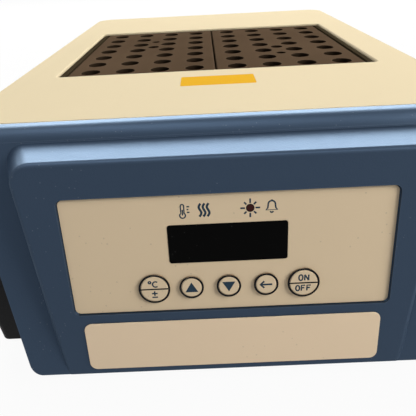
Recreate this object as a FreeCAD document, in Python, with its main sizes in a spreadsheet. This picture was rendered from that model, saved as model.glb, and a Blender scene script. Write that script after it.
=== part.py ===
import FreeCAD, Part
import math
import os
import re

import MeshPart
import Sketcher

# A dry bath incubator: a moulded case on a black tray, two aluminium tube
# blocks on one heater plate, and a sloping console with a display and keys.
# +X is to the right, +Y to the rear and +Z up, and the feet stand on Z = 0.

Vector = FreeCAD.Vector
doc = FreeCAD.newDocument("DryBath")

# Driving dimensions, in millimetres and degrees
dims = doc.addObject("Spreadsheet::Sheet", "Dims")
SIZES = {
    "case_half": 100,  # half the width of the case
    "case_rear": 153.5,  # rear wall of the case
    "case_top": 91,  # top of the case, under the deck
    "case_wall": 3,  # wall of the case
    "tray_inset": 1.5,  # tray inside the case's outline
    "rear_corner": 12,  # rear corner radius of the case
    "split_height": 45,  # where the case meets the tray
    "shoulder_front": -135,  # front of the straight sides
    "ledge_front": -117,  # top edge of the sloping apron
    "ledge_round": 3,  # radius along the ledge
    "apron_foot": -155,  # lower edge of the apron
    "apron_bottom": 8,  # height of the lower edge of the apron
    "apron_foot_half": 77,  # half the width of the apron at the bottom
    "apron_inset": 4.5,  # top of the apron in from the side of the case
    "apron_corner": 5,  # radius of the apron's lower corners
    "console_nose": -135.4,  # upper front edge of the console
    "console_drop": 2.8,  # top of the console below the case
    "console_lean": 13.8,  # lean of the console face from upright
    "console_top_half": 72,  # half the width of the console at the top
    "console_taper": 8.2,  # console narrower at the bottom, each side
    "console_corner": 9,  # radius of the console's upper corners
    "console_round": 1.8,  # rounding round the console face
    "console_wall": 4,  # wall behind the console face
    "fit_gap": 0.3,  # gap round a part that drops into an opening
    "slip_gap": 0.1,  # gap of a part that slides in a close fit
    "tray_wall": 3,  # wall of the tray
    "tray_floor": 2.5,  # floor of the tray
    "board_notch_low": 27,  # floor of the notch in the tray's front, behind the control board
    "notch_clear": 5,  # notch past the control board, each side
    "tray_round": 3,  # rounding under the tray
    "foot_height": 4,  # height of the feet
    "foot_radius": 8,  # radius of the feet
    "foot_inset": 16,  # feet in from the side of the case
    "foot_front": -112,  # front feet
    "boss_front": -92,  # front case towers
    "boss_rear": 114,  # rear case towers
    "boss_half": 5.5,  # half the side of the square case towers
    "boss_inset": 10,  # case towers in from the side of the case
    "screw_seat": 35,  # height where the case screws seat
    "screw_radius": 2,  # radius of the case screws
    "screw_head": 3.6,  # radius of the case screw heads
    "screw_reach": 22,  # length of the case screws
    "deck_thickness": 2,  # thickness of the deck
    "deck_inset": 0.5,  # deck inside the case's outline
    "ledge_depth": 6.5,  # ledge in front of the deck
    "deck_bevel": 0.6,  # bevel of the deck's edges
    "well_half": 80,  # half the width of the well opening
    "well_front": -46.9,  # front of the well opening
    "well_rear": 73.5,  # rear of the well opening
    "well_corner": 2,  # corner radius of the well opening
    "liner_wall": 2.7,  # side walls of the well liner
    "liner_end_wall": 1.1,  # front and rear walls of the well liner
    "liner_flange": 4,  # reach of the liner's flange
    "flange_thickness": 1.5,  # thickness of the liner's flange
    "liner_drop": 1,  # liner rim below the deck
    "block_height": 40,  # height of one tube block, which is the depth of its wells
    "sole_thickness": 10,  # sole that closes a block's wells
    "block_gap": 1.2,  # gap between a block and the liner
    "block_split": 0.3,  # half the gap between the blocks
    "block_drop": 1,  # top of the blocks below the deck
    "block_bevel": 0.6,  # bevel of the block's upper edges
    "tube_radius": 4.9,  # radius of a tube well
    "column_pitch": 18,  # pitch of the wells across
    "row_pitch": 16.76,  # pitch of the wells front to back
    "column_count": 4,  # wells across one block
    "row_count": 7,  # wells front to back
    "lift_radius": 2.6,  # radius of the lifting tool's hole
    "probe_well_radius": 3.4,  # radius of the thermometer well
    "plate_thickness": 8,  # thickness of the heater plate
    "plate_gap": 0.7,  # gap between the plate and the liner
    "plate_proud": 0.5,  # plate past the blocks, front and rear
    "mat_half": 54,  # half the width of the heater mat
    "mat_depth": 88,  # depth of the heater mat
    "mat_thickness": 1.5,  # thickness of the heater mat
    "pad_thickness": 10,  # thickness of the insulation
    "pan_thickness": 1.5,  # thickness of the heater pan
    "pan_half": 59,  # half the width of the heater pan
    "pan_depth": 91,  # depth of the heater pan
    "bracket_reach": 66,  # web of a plate bracket from the middle
    "bracket_flange": 10,  # reach of a plate bracket's flanges
    "bracket_sheet": 1.5,  # sheet of a plate bracket
    "bracket_length": 96,  # length of a plate bracket
    "cutout_radius": 6,  # radius of the thermal cut-out
    "cutout_height": 8,  # height of the thermal cut-out
    "cutout_reach": 30,  # thermal cut-out from the middle, sideways
    "cutout_inset": 7,  # thermal cut-out from the plate's rear edge
    "probe_radius": 2,  # radius of the temperature probe
    "probe_length": 34,  # length of the temperature probe
    "probe_depth": 26,  # depth of the probe's hole in the plate
    "panel_half": 56.7,  # half the width of the control panel
    "panel_top": 12.8,  # top of the control panel, down the console face
    "panel_tall": 43.6,  # height of the control panel
    "panel_corner": 3.5,  # corner radius of the control panel
    "panel_thickness": 1.2,  # thickness of the control panel
    "panel_sunk": 1,  # control panel below the console face
    "window_left": -21,  # left edge of the display window
    "window_right": 20.2,  # right edge of the display window
    "window_top": 23.4,  # top of the display window, down the face
    "window_tall": 14.3,  # height of the display window
    "window_corner": 2,  # corner radius of the display window
    "window_lip": 1.5,  # lip of the window behind the panel
    "window_proud": 0.2,  # window above the panel
    "key_line": 47.1,  # keys down the console face
    "key_first": -27.1,  # place of the first key, sideways
    "key_pitch": 13.25,  # pitch of the keys
    "key_large": 5.2,  # radius of a large key
    "key_small": 3.9,  # radius of a small key
    "key_crown": 0.9,  # height of a key above the panel
    "key_flange": 0.9,  # reach of the flange that keeps a key in
    "key_travel": 0.6,  # travel of a key
    "key_stem": 1.4,  # half the width of a key's stem
    "key_bevel": 0.5,  # bevel round a key's cap
    "key_stem_length": 1.1,  # length of a key's stem
    "switch_half": 3,  # half the width of a key switch
    "lamp_heat": -8,  # place of the heating lamp, sideways
    "lamp_alarm": 7.4,  # place of the alarm lamp, sideways
    "lamp_line": 18.5,  # lamps down the console face
    "lamp_radius": 1.5,  # radius of a lamp
    "board_half": 50,  # half the width of the control board
    "board_top": 13.5,  # top of the control board, down the face
    "board_tall": 41.5,  # height of the control board
    "board_depth": 11,  # control board behind the console face
    "board_thickness": 1.6,  # thickness of a circuit board
    "board_post_reach": 46,  # board posts from the middle, sideways
    "board_post_inset": 3.7,  # board posts from the board's edge
    "board_post_half": 2.6,  # half the side of a square board post
    "stake_half": 1.1,  # half the side of the stake on a board post
    "stake_proud": 1,  # stakes past the board
    "label_half": 54.2,  # half the width of the lower label
    "label_top": 60.2,  # top of the lower label, down the face
    "label_tall": 20,  # height of the lower label
    "label_corner": 4,  # corner radius of the lower label
    "label_thickness": 0.5,  # thickness of the lower label
    "supply_half": 50,  # half the width of the power board
    "supply_front": 90,  # front edge of the power board
    "supply_depth": 36,  # depth of the power board
    "supply_height": 14,  # underside of the power board
    "supply_inset": 4,  # power board posts from its edges
    "inlet_across": -45,  # place of the mains inlet, sideways
    "rear_line": 67,  # height of the rear fittings
    "inlet_half": 13.6,  # half the width of the inlet's body
    "inlet_tall": 14.2,  # half the height of the inlet's body
    "inlet_reach": 24,  # depth of the inlet's body
    "inlet_flange_half": 25,  # half the width of the inlet's flange
    "inlet_flange_tall": 16.5,  # half the height of the inlet's flange
    "bezel_thickness": 1.5,  # thickness of the rear fittings' flanges
    "inlet_screw_reach": 20,  # inlet screws from its middle
    "socket_half": 12.2,  # half the width of the socket
    "socket_tall": 8.2,  # half the height of the socket
    "socket_rise": 4.6,  # socket above the inlet's middle
    "socket_depth": 17,  # depth of the socket
    "socket_bevel": 4,  # bevel of the socket's lower corners
    "pin_pitch": 7,  # live pins from the middle, sideways
    "pin_drop": 2,  # live pins below the socket's middle
    "pin_rise": 2,  # earth pin above the socket's middle
    "pin_reach": 13,  # length of the pins in the socket
    "drawer_half": 12,  # half the width of the fuse drawer
    "drawer_tall": 3,  # half the height of the fuse drawer
    "drawer_drop": 8.8,  # fuse drawer below the inlet's middle
    "drawer_depth": 18,  # depth of the fuse drawer
    "fuse_radius": 2.5,  # radius of the fuse
    "fuse_length": 20,  # length of the fuse
    "fuse_inset": 4,  # fuse from the drawer's inner end
    "notch_half": 3,  # half the width of the drawer's finger notch
    "rocker_across": 5,  # place of the power switch, sideways
    "rocker_half": 5,  # half the width of the rocker
    "rocker_tall": 7.4,  # half the height of the rocker
    "switch_wall": 1.5,  # switch case beyond the rocker, sideways
    "switch_end": 2,  # switch case beyond the rocker, up and down
    "switch_depth": 14,  # depth of the switch case
    "switch_rim": 1.5,  # rim of the switch round its case
    "rocker_tilt": 8,  # tilt of the rocker from its middle
    "rocker_pivot": 4,  # rocker's pin behind the rear wall
    "rocker_pin": 1,  # radius of the rocker's pin
    "vent_across": 40,  # first rear vent, sideways
    "vent_pitch": 6,  # pitch of the vents
    "vent_width": 2.6,  # width of a vent
    "vent_tall": 24,  # height of a rear vent
    "vent_count": 8,  # number of rear vents
    "floor_vent_count": 6,  # number of vents in each group under the tray
}
for row, (alias, value) in enumerate(SIZES.items(), 1):
    dims.set("A%d" % row, alias.replace("_", " "))
    dims.set("B%d" % row, str(value))
    dims.setAlias("B%d" % row, alias)
doc.recompute()

# What fits or lines up with another piece takes its size from that piece
FITTED = {
    "tray_half": "case_half - tray_inset",
    "tray_rear": "case_rear - tray_inset",
    "tray_corner": "rear_corner - tray_inset",
    "foot_reach": "case_half - foot_inset",
    "foot_rear": "case_rear - foot_inset",
    "boss_reach": "case_half - boss_inset",
    "deck_half": "case_half - deck_inset",
    "deck_rear": "case_rear - deck_inset",
    "deck_front": "ledge_front + ledge_depth",
    "console_top": "case_top - console_drop",
    "console_foot_half": "console_top_half - console_taper",
    "apron_top_half": "case_half - apron_inset",
    "block_width": "well_half - liner_wall - fit_gap - block_gap - block_split",
    "block_depth": "well_rear - well_front - 2 * (2 * fit_gap + liner_end_wall)",
    "block_middle": "block_split + block_width / 2",
    "plate_half": "well_half - liner_wall - fit_gap - plate_gap",
    "plate_depth": "block_depth + 2 * plate_proud",
    "window_bottom": "window_top + window_tall",
    "panel_bottom": "panel_top + panel_tall",
    "label_bottom": "label_top + label_tall",
    "board_bottom": "board_top + board_tall",
    "supply_rear": "supply_front + supply_depth",
}

# Places that several pieces share, as sums of the sizes above
DECK_TOP = "(case_top + deck_thickness)"
BLOCK_TOP = "(%s - block_drop)" % DECK_TOP
SOLE_TOP = "(%s - block_height)" % BLOCK_TOP
PLATE_TOP = "(%s - sole_thickness)" % SOLE_TOP
PLATE_UNDER = "(%s - plate_thickness)" % PLATE_TOP
PAN_TOP = "(%s - mat_thickness - pad_thickness)" % PLATE_UNDER
PAN_UNDER = "(%s - pan_thickness)" % PAN_TOP
FLOOR_TOP = "(foot_height + tray_floor)"
WELL_MIDDLE = "((well_front + well_rear) / 2)"
WING_LEAN = "atan((ledge_front - apron_foot) / (case_top - apron_bottom))"
WING_TILT = "(90deg - %s)" % WING_LEAN
CONSOLE_TILT = "(90 - console_lean)"
CONSOLE_SLOPE = "((console_top - apron_bottom) / cos(console_lean))"
PANEL_BACK = "(-panel_sunk - panel_thickness)"
BOARD_BACK = "(-board_depth - board_thickness)"
KEY_FLANGE_BASE = "(-panel_sunk - panel_thickness - slip_gap - key_flange)"
TRAY_FRONT = "(shoulder_front + fit_gap)"


def formula(text):
    """Point each name in a sum at its cell of the sheet, or at the sum it is fitted by."""

    def cell(match):
        word = match.group()
        if word in FITTED:
            return "(%s)" % formula(FITTED[word])
        return "Dims." + word if word in SIZES else word

    return re.sub(r"[a-z_]+", cell, text)


def number(text):
    """The value of a sum of sizes."""
    result = dims.evalExpression(formula(text))
    return float(getattr(result, "Value", result))


def bind(target, path, text):
    target.setExpression(path, formula(text))


def new_body(label):
    body = doc.addObject("PartDesign::Body", label)
    body.Label = label
    return body


def place(body, across="0", back="0", up="0", tilt=None):
    """Set a body down at a point, leaned back about the X axis where it has a tilt."""
    if tilt:
        body.Placement = FreeCAD.Placement(Vector(), FreeCAD.Rotation(Vector(1, 0, 0), number(tilt)))
        bind(body, "Placement.Rotation.Angle", tilt)
    bind(body, "Placement.Base.x", across)
    bind(body, "Placement.Base.y", back)
    bind(body, "Placement.Base.z", up)


def place_on_console(body, across="0", down="0"):
    """Set a body on the console face: local Y runs up the slope and local Z outward."""
    back = "console_nose - (%s) * sin(console_lean)" % down
    up = "console_top - (%s) * cos(console_lean)" % down
    place(body, across, back, up, CONSOLE_TILT)


def sketch(body, name, role, lift="0", back="0", up="0", tilt=None):
    """A sketch on one of the body's own planes, lifted off it or tilted about the X axis."""
    drawing = body.newObject("Sketcher::SketchObject", name)
    plane = [item for item in body.Origin.OriginFeatures if item.Role == role][0]
    drawing.AttachmentSupport = [(plane, "")]
    drawing.MapMode = "FlatFace"
    if tilt is None:
        bind(drawing, "AttachmentOffset.Base.z", lift)
        return drawing
    turn = FreeCAD.Rotation(Vector(1, 0, 0), number(tilt))
    drawing.AttachmentOffset = FreeCAD.Placement(Vector(), turn)
    bind(drawing, "AttachmentOffset.Rotation.Angle", tilt)
    bind(drawing, "AttachmentOffset.Base.y", back)
    bind(drawing, "AttachmentOffset.Base.z", up)
    return drawing


def console_sketch(body, name, outward="0"):
    """A sketch parallel to the console face, set outward from it."""
    back = "console_nose - (%s) * cos(console_lean)" % outward
    up = "console_top + (%s) * sin(console_lean)" % outward
    return sketch(body, name, "XY_Plane", back=back, up=up, tilt=CONSOLE_TILT)


def pin_point(drawing, piece, end, across, up):
    for kind, text in (("DistanceX", across), ("DistanceY", up)):
        index = drawing.addConstraint(Sketcher.Constraint(kind, -1, 1, piece, end, number(text)))
        bind(drawing, "Constraints[%d]" % index, text)


def circle(drawing, across, up, radius):
    centre = Vector(number(across), number(up), 0)
    piece = drawing.addGeometry(Part.Circle(centre, Vector(0, 0, 1), number(radius)))
    pin_point(drawing, piece, 3, across, up)
    index = drawing.addConstraint(Sketcher.Constraint("Radius", piece, number(radius)))
    bind(drawing, "Constraints[%d]" % index, radius)


def outline(drawing, corners):
    """Draw a closed outline. Each corner is (across, up) or (across, up, radius)."""
    points = [Vector(number(corner[0]), number(corner[1]), 0) for corner in corners]
    arrivals, departures, arcs = [], [], []
    for place_in_turn, corner in enumerate(corners):
        here = points[place_in_turn]
        start, finish, arc = here, here, None
        if len(corner) == 3:
            radius = number(corner[2])
            before = (points[place_in_turn - 1] - here).normalize()
            after = (points[(place_in_turn + 1) % len(points)] - here).normalize()
            half_angle = before.getAngle(after) / 2
            start = here + before * (radius / math.tan(half_angle))
            finish = here + after * (radius / math.tan(half_angle))
            inward = (before + after).normalize()
            crown = here + inward * (radius / math.sin(half_angle) - radius)
            arc = Part.Arc(start, crown, finish)
        arrivals.append(start)
        departures.append(finish)
        arcs.append(arc)
    lines = []
    for turn in range(len(corners)):
        nearer = departures[turn]
        further = arrivals[(turn + 1) % len(corners)]
        lines.append(drawing.addGeometry(Part.LineSegment(nearer, further)))
    for turn, corner in enumerate(corners):
        arriving = lines[turn - 1]
        leaving = lines[turn]
        if arcs[turn] is None:
            drawing.addConstraint(Sketcher.Constraint("Coincident", arriving, 2, leaving, 1))
            pin_point(drawing, leaving, 1, corner[0], corner[1])
            continue
        arc = drawing.addGeometry(arcs[turn])
        first, last = 1, 2
        if drawing.getPoint(arc, 1).distanceToPoint(arrivals[turn]) > 1e-6:
            first, last = 2, 1
        drawing.addConstraint(Sketcher.Constraint("Tangent", arriving, 2, arc, first))
        drawing.addConstraint(Sketcher.Constraint("Tangent", arc, last, leaving, 1))
        index = drawing.addConstraint(Sketcher.Constraint("Radius", arc, number(corner[2])))
        bind(drawing, "Constraints[%d]" % index, corner[2])
        mark = drawing.addGeometry(Part.Point(points[turn]), True)
        pin_point(drawing, mark, 1, corner[0], corner[1])
        drawing.addConstraint(Sketcher.Constraint("PointOnObject", mark, 1, arriving))
        drawing.addConstraint(Sketcher.Constraint("PointOnObject", mark, 1, leaving))


def rectangle(drawing, left, right, low, high, radius=None):
    corners = [(left, low), (right, low), (right, high), (left, high)]
    if radius:
        corners = [corner + (radius,) for corner in corners]
    outline(drawing, corners)


def polygon(drawing, across, up, radius, sides):
    """A regular outline with its corners on a circle, for the heads and shanks of screws."""
    corners = []
    for corner in range(sides):
        turn = 360 * (corner + 0.5) / sides
        corners.append((
            "%s + %s * cos(%g)" % (across, radius, turn),
            "%s + %s * sin(%g)" % (up, radius, turn),
        ))
    outline(drawing, corners)


def square(drawing, across, up, half):
    rectangle(
        drawing, "%s - %s" % (across, half), "%s + %s" % (across, half),
        "%s - %s" % (up, half), "%s + %s" % (up, half),
    )


def extrude(body, kind, name, drawing, length, flip=False, both=False, toward=None):
    feature = body.newObject(kind, name)
    feature.Profile = drawing
    bind(feature, "Length", length)
    feature.Reversed = flip
    if both:
        feature.SideType = "Symmetric"
    if toward:
        feature.UseCustomVector = True
        feature.AlongSketchNormal = False
        feature.Direction = toward
    doc.recompute()
    return feature


def pad(body, name, drawing, length, **options):
    return extrude(body, "PartDesign::Pad", name, drawing, length, **options)


def pocket(body, name, drawing, length, **options):
    """Cut, and stop where the cut takes nothing away."""
    whole = body.Shape.Volume
    feature = extrude(body, "PartDesign::Pocket", name, drawing, length, **options)
    if not body.Shape.Volume < whole:
        raise ValueError("%s cuts nothing from %s" % (name, body.Label))
    return feature


def round_edges(body, name, radius, wanted, kind="PartDesign::Fillet", path="Radius"):
    """Round or bevel the edges of the body whose middle and direction are wanted."""
    base = body.Tip
    chosen = []
    for index, edge in enumerate(base.Shape.Edges):
        middle = edge.valueAt((edge.FirstParameter + edge.LastParameter) / 2)
        along = (edge.Vertexes[-1].Point - edge.Vertexes[0].Point)
        if along.Length > 0:
            along.normalize()
        if wanted(middle, along):
            chosen.append("Edge%d" % (index + 1))
    feature = body.newObject(kind, name)
    feature.Base = (base, chosen)
    bind(feature, path, radius)
    doc.recompute()
    return feature


def near(first, second):
    return abs(first - second) < 1e-3


def four_corners(reach, front, rear):
    """Four places, left and right, front and rear."""
    return [(side + reach, end) for side in ("-", "") for end in (front, rear)]


def case_boss_places():
    return four_corners("boss_reach", "boss_front", "boss_rear")


def foot_places():
    return four_corners("foot_reach", "foot_front", "foot_rear")


def board_post_places():
    ends = ("-board_top - board_post_inset", "-board_bottom + board_post_inset")
    return four_corners("board_post_reach", ends[0], ends[1])


def supply_post_places():
    ends = ("supply_front + supply_inset", "supply_rear - supply_inset")
    return four_corners("(supply_half - supply_inset)", ends[0], ends[1])


def key_across(place_in_row):
    return "(key_first + %d * key_pitch)" % place_in_row


KEY_SLOT_LEFT = key_across(0) + " - key_large - 2 * key_flange"
KEY_SLOT_RIGHT = key_across(4) + " + key_large + 2 * key_flange"


KEYS = [
    ("set_key", 0, "key_large"),
    ("up_key", 1, "key_small"),
    ("down_key", 2, "key_small"),
    ("shift_key", 3, "key_small"),
    ("start_key", 4, "key_large"),
]


# The moulded case: the console first, then the case and its apron round it
def make_housing():
    body = new_body("housing")

    face = console_sketch(body, "ConsoleOutline")
    outline(face, [
        ("-console_foot_half", "-%s" % CONSOLE_SLOPE),
        ("console_foot_half", "-%s" % CONSOLE_SLOPE),
        ("console_top_half", "0", "console_corner"),
        ("-console_top_half", "0", "console_corner"),
    ])
    pad(body, "Console", face, "ledge_front - console_nose", toward=Vector(0, 1, 0))
    lean = math.radians(number("console_lean"))
    nose = number("console_nose")
    top = number("console_top")
    bottom = number("apron_bottom")

    def on_face(middle, along):
        outward = (middle.z - top) * math.sin(lean) - (middle.y - nose) * math.cos(lean)
        return near(outward, 0) and middle.z > bottom + 1

    round_edges(body, "ConsoleEdge", "console_round", on_face)

    trim = sketch(body, "TrimOutline", "YZ_Plane")
    rectangle(trim, "shoulder_front", "shoulder_front + case_half", "0", "split_height")
    pocket(body, "Trim", trim, "2 * case_half", both=True)

    side = sketch(body, "SideProfile", "YZ_Plane")
    outline(side, [
        ("case_rear", "split_height"),
        ("case_rear", "case_top"),
        ("ledge_front", "case_top", "ledge_round"),
        ("apron_foot", "apron_bottom"),
        ("shoulder_front", "apron_bottom"),
        ("shoulder_front", "split_height"),
    ])
    pad(body, "Case", side, "2 * case_half", both=True)

    cheeks = sketch(body, "CheekOutline", "XZ_Plane", lift="-shoulder_front")
    for sign in ("", "-"):
        outline(cheeks, [
            (sign + "apron_top_half", "case_top"),
            (sign + "apron_foot_half", "apron_bottom"),
            (sign + "apron_foot_half", "0"),
            (sign + "(case_half + case_wall)", "0"),
            (sign + "(case_half + case_wall)", "case_top"),
        ])
    pocket(body, "Cheeks", cheeks, "case_half", flip=True)

    rear = number("case_rear")
    half = number("case_half")
    shoulder = number("shoulder_front")

    def rear_upright(middle, along):
        return abs(along.z) > 0.99 and near(middle.y, rear) and near(abs(middle.x), half)

    def apron_foot_corner(middle, along):
        return abs(along.y) > 0.99 and near(middle.z, bottom) and middle.y < shoulder

    round_edges(body, "ApronCorners", "apron_corner", apron_foot_corner)

    inner_case = sketch(body, "CavityProfile", "YZ_Plane")
    ledge_inside = "(ledge_front + case_wall / cos(%s))" % WING_LEAN
    wing_inside = "(%s - (case_top - %%s) * tan(%s))" % (ledge_inside, WING_LEAN)
    step = "(case_top - (%s - shoulder_front - case_wall) / tan(%s))" % (ledge_inside, WING_LEAN)
    ceiling = "(case_top - case_wall)"
    outline(inner_case, [
        ("case_rear - case_wall", "split_height"),
        ("case_rear - case_wall", ceiling),
        (wing_inside % ceiling, ceiling),
        ("shoulder_front + case_wall", step),
        ("shoulder_front + case_wall", "split_height"),
    ])
    pocket(body, "CaseCavity", inner_case, "2 * (case_half - case_wall)", both=True)
    wall = number("case_wall")

    def inner_upright(middle, along):
        return abs(along.z) > 0.99 and near(middle.y, rear - wall) and near(abs(middle.x), half - wall)

    round_edges(body, "CavityCorners", "rear_corner - case_wall", inner_upright)
    round_edges(body, "RearCorners", "rear_corner", rear_upright)

    # The apron's cavity runs back from its inner face, so its top and floor stay level
    apron = sketch(
        body, "ApronCavityOutline", "XY_Plane", tilt=WING_TILT,
        back="ledge_front + case_wall * cos(%s)" % WING_LEAN,
        up="case_top - case_wall * sin(%s)" % WING_LEAN,
    )
    down = "(-(case_top - %%s) / cos(%s) + case_wall * tan(%s))" % (WING_LEAN, WING_LEAN)
    apron_top = down % ceiling
    apron_low = down % "(apron_bottom + case_wall)"
    outline(apron, [
        ("-(apron_foot_half - case_wall)", apron_low, "apron_corner - case_wall / 2"),
        ("apron_foot_half - case_wall", apron_low, "apron_corner - case_wall / 2"),
        ("apron_top_half - case_wall", apron_top),
        ("-(apron_top_half - case_wall)", apron_top),
    ])
    apron_run = "shoulder_front - apron_foot + case_wall"
    pocket(body, "ApronCavity", apron, apron_run, toward=Vector(0, 1, 0))

    console = console_sketch(body, "ConsoleCavityOutline", "-console_wall")
    console_low = "(-%s + (case_wall + console_wall * sin(console_lean)) / cos(console_lean))" % CONSOLE_SLOPE
    console_high = "(-case_wall)"
    outline(console, [
        ("-(console_foot_half - case_wall)", console_low),
        ("console_foot_half - case_wall", console_low),
        ("console_top_half - case_wall", console_high, "console_corner - case_wall"),
        ("-(console_top_half - case_wall)", console_high, "console_corner - case_wall"),
    ])
    pocket(body, "ConsoleCavity", console, "ledge_front - console_nose + case_wall", toward=Vector(0, 1, 0))

    well = sketch(body, "WellOutline", "XY_Plane", lift="case_top")
    rectangle(
        well, "-(well_half + fit_gap)", "well_half + fit_gap",
        "well_front - fit_gap", "well_rear + fit_gap",
    )
    pocket(body, "WellOpening", well, "2 * case_wall")
    rebate = sketch(body, "RebateOutline", "XY_Plane", lift="case_top")
    spread = "liner_flange + fit_gap"
    rectangle(
        rebate, "-(well_half + %s)" % spread, "well_half + %s" % spread,
        "well_front - (%s)" % spread, "well_rear + %s" % spread,
    )
    pocket(body, "Rebate", rebate, "flange_thickness")

    seat = console_sketch(body, "PanelSeatOutline")
    rectangle(
        seat, "-panel_half - fit_gap", "panel_half + fit_gap",
        "-panel_bottom - fit_gap", "-panel_top + fit_gap", "panel_corner + fit_gap",
    )
    pocket(body, "PanelSeat", seat, "panel_sunk + panel_thickness")
    openings = console_sketch(body, "ConsoleOpenings")
    lip = "(window_lip + slip_gap)"
    rectangle(
        openings, "window_left - %s" % lip, "window_right + %s" % lip,
        "-window_bottom - %s" % lip, "-window_top + %s" % lip,
    )
    rectangle(
        openings, KEY_SLOT_LEFT, KEY_SLOT_RIGHT,
        "-key_line - key_large - 2 * key_flange", "-key_line + key_large + key_flange",
    )
    rectangle(
        openings, "lamp_heat - 2 * lamp_radius", "lamp_alarm + 2 * lamp_radius",
        "-lamp_line - lamp_radius - fit_gap", "-lamp_line + lamp_radius + fit_gap",
    )
    pocket(body, "ConsoleHoles", openings, "console_wall + 1")

    posts = console_sketch(body, "BoardPostOutline", "-console_wall")
    stakes = console_sketch(body, "StakeOutline", "-board_depth")
    for across, up in board_post_places():
        square(posts, across, up, "board_post_half")
        square(stakes, across, up, "stake_half")
    pad(body, "BoardPosts", posts, "board_depth - console_wall", flip=True)
    pad(body, "Stakes", stakes, "board_thickness + stake_proud", flip=True)

    towers = sketch(body, "TowerOutline", "XY_Plane", lift="split_height")
    pilots = sketch(body, "PilotOutline", "XY_Plane", lift="split_height")
    for across, up in case_boss_places():
        square(towers, across, up, "boss_half")
        polygon(pilots, across, up, "screw_radius", 8)
    pad(body, "Towers", towers, "case_top - case_wall - split_height")
    ribs = sketch(body, "RibOutline", "XY_Plane", lift="split_height")
    for across, side_wall in (("-boss_reach", "-"), ("boss_reach", "")):
        for up in ("boss_front", "boss_rear"):
            ends = [across, side_wall + "(case_half - case_wall / 2)"]
            if side_wall:
                ends.reverse()
            rectangle(ribs, ends[0], ends[1], up + " - case_wall / 2", up + " + case_wall / 2")
    pad(body, "TowerRibs", ribs, "boss_half")
    pocket(body, "Pilots", pilots, "screw_reach", flip=True)

    rear_wall = sketch(body, "RearOpenings", "XZ_Plane", lift="-case_rear")
    rectangle(
        rear_wall, "inlet_across - inlet_half - slip_gap", "inlet_across + inlet_half + slip_gap",
        "rear_line - inlet_tall - slip_gap", "rear_line + inlet_tall + slip_gap",
    )
    for side_of in ("-", "+"):
        polygon(rear_wall, "(inlet_across %s inlet_screw_reach)" % side_of, "rear_line", "screw_radius", 8)
    rectangle(
        rear_wall, "rocker_across - rocker_half - switch_wall - slip_gap",
        "rocker_across + rocker_half + switch_wall + slip_gap",
        "rear_line - rocker_tall - switch_end - slip_gap",
        "rear_line + rocker_tall + switch_end + slip_gap",
    )
    for slot in range(int(number("vent_count"))):
        left = "vent_across + %d * vent_pitch" % slot
        rectangle(
            rear_wall, left, left + " + vent_width",
            "rear_line - vent_tall / 2", "rear_line + vent_tall / 2",
        )
    pocket(body, "RearHoles", rear_wall, "case_wall + 1", flip=True)
    return body


# The black tray under the case, with the bosses that the case screws go up through
def make_tray():
    body = new_body("base_tray")
    shell = sketch(body, "TrayOutline", "XY_Plane", lift="foot_height")
    outline(shell, [
        ("-tray_half", TRAY_FRONT, "tray_round"),
        ("tray_half", TRAY_FRONT, "tray_round"),
        ("tray_half", "tray_rear", "tray_corner"),
        ("-tray_half", "tray_rear", "tray_corner"),
    ])
    pad(body, "Tray", shell, "split_height - foot_height")
    under = number("foot_height")
    round_edges(
        body, "TrayEdge", "tray_round / 2", lambda middle, along: near(middle.z, under),
        kind="PartDesign::Chamfer", path="Size",
    )
    cavity = sketch(body, "TrayCavityOutline", "XY_Plane", lift=FLOOR_TOP)
    outline(cavity, [
        ("-tray_half + tray_wall", TRAY_FRONT + " + tray_wall"),
        ("tray_half - tray_wall", TRAY_FRONT + " + tray_wall"),
        ("tray_half - tray_wall", "tray_rear - tray_wall", "tray_corner - tray_wall"),
        ("-tray_half + tray_wall", "tray_rear - tray_wall", "tray_corner - tray_wall"),
    ])
    pocket(body, "TrayCavity", cavity, "split_height", flip=True)
    notch = sketch(body, "BoardNotchOutline", "XZ_Plane", lift="-(%s)" % TRAY_FRONT)
    rectangle(
        notch, "-(board_half + notch_clear)", "board_half + notch_clear",
        "board_notch_low", "split_height + tray_wall",
    )
    pocket(body, "BoardNotch", notch, "tray_wall")

    towers = sketch(body, "TowerOutline", "XY_Plane", lift=FLOOR_TOP)
    for across, up in case_boss_places():
        square(towers, across, up, "boss_half")
    pad(body, "Towers", towers, "split_height - %s" % FLOOR_TOP)
    posts = sketch(body, "PostOutline", "XY_Plane", lift=FLOOR_TOP)
    stakes = sketch(body, "StakeOutline", "XY_Plane", lift="supply_height")
    for across, up in supply_post_places():
        square(posts, across, up, "board_post_half")
        square(stakes, across, up, "stake_half")
    pad(body, "Posts", posts, "supply_height - %s" % FLOOR_TOP)
    pad(body, "Stakes", stakes, "board_thickness + stake_proud")
    clearance = sketch(body, "ClearanceOutline", "XY_Plane", lift="foot_height")
    counterbore = sketch(body, "CounterboreOutline", "XY_Plane", lift="foot_height")
    for across, up in case_boss_places():
        polygon(clearance, across, up, "(screw_radius + fit_gap)", 8)
        circle(counterbore, across, up, "screw_head + fit_gap")
    pocket(body, "ScrewClearance", clearance, "split_height", flip=True)
    pocket(body, "Counterbore", counterbore, "screw_seat - foot_height", flip=True)
    vents = sketch(body, "FloorVentOutline", "XY_Plane")
    for row in range(int(number("floor_vent_count"))):
        for first in (TRAY_FRONT + " + tray_wall + 3 * vent_pitch", "supply_front"):
            low = "%s + %d * vent_pitch" % (first, row)
            rectangle(vents, "-vent_tall", "vent_tall", low, low + " + vent_width")
    pocket(body, "FloorVents", vents, FLOOR_TOP, flip=True)
    return body


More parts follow.
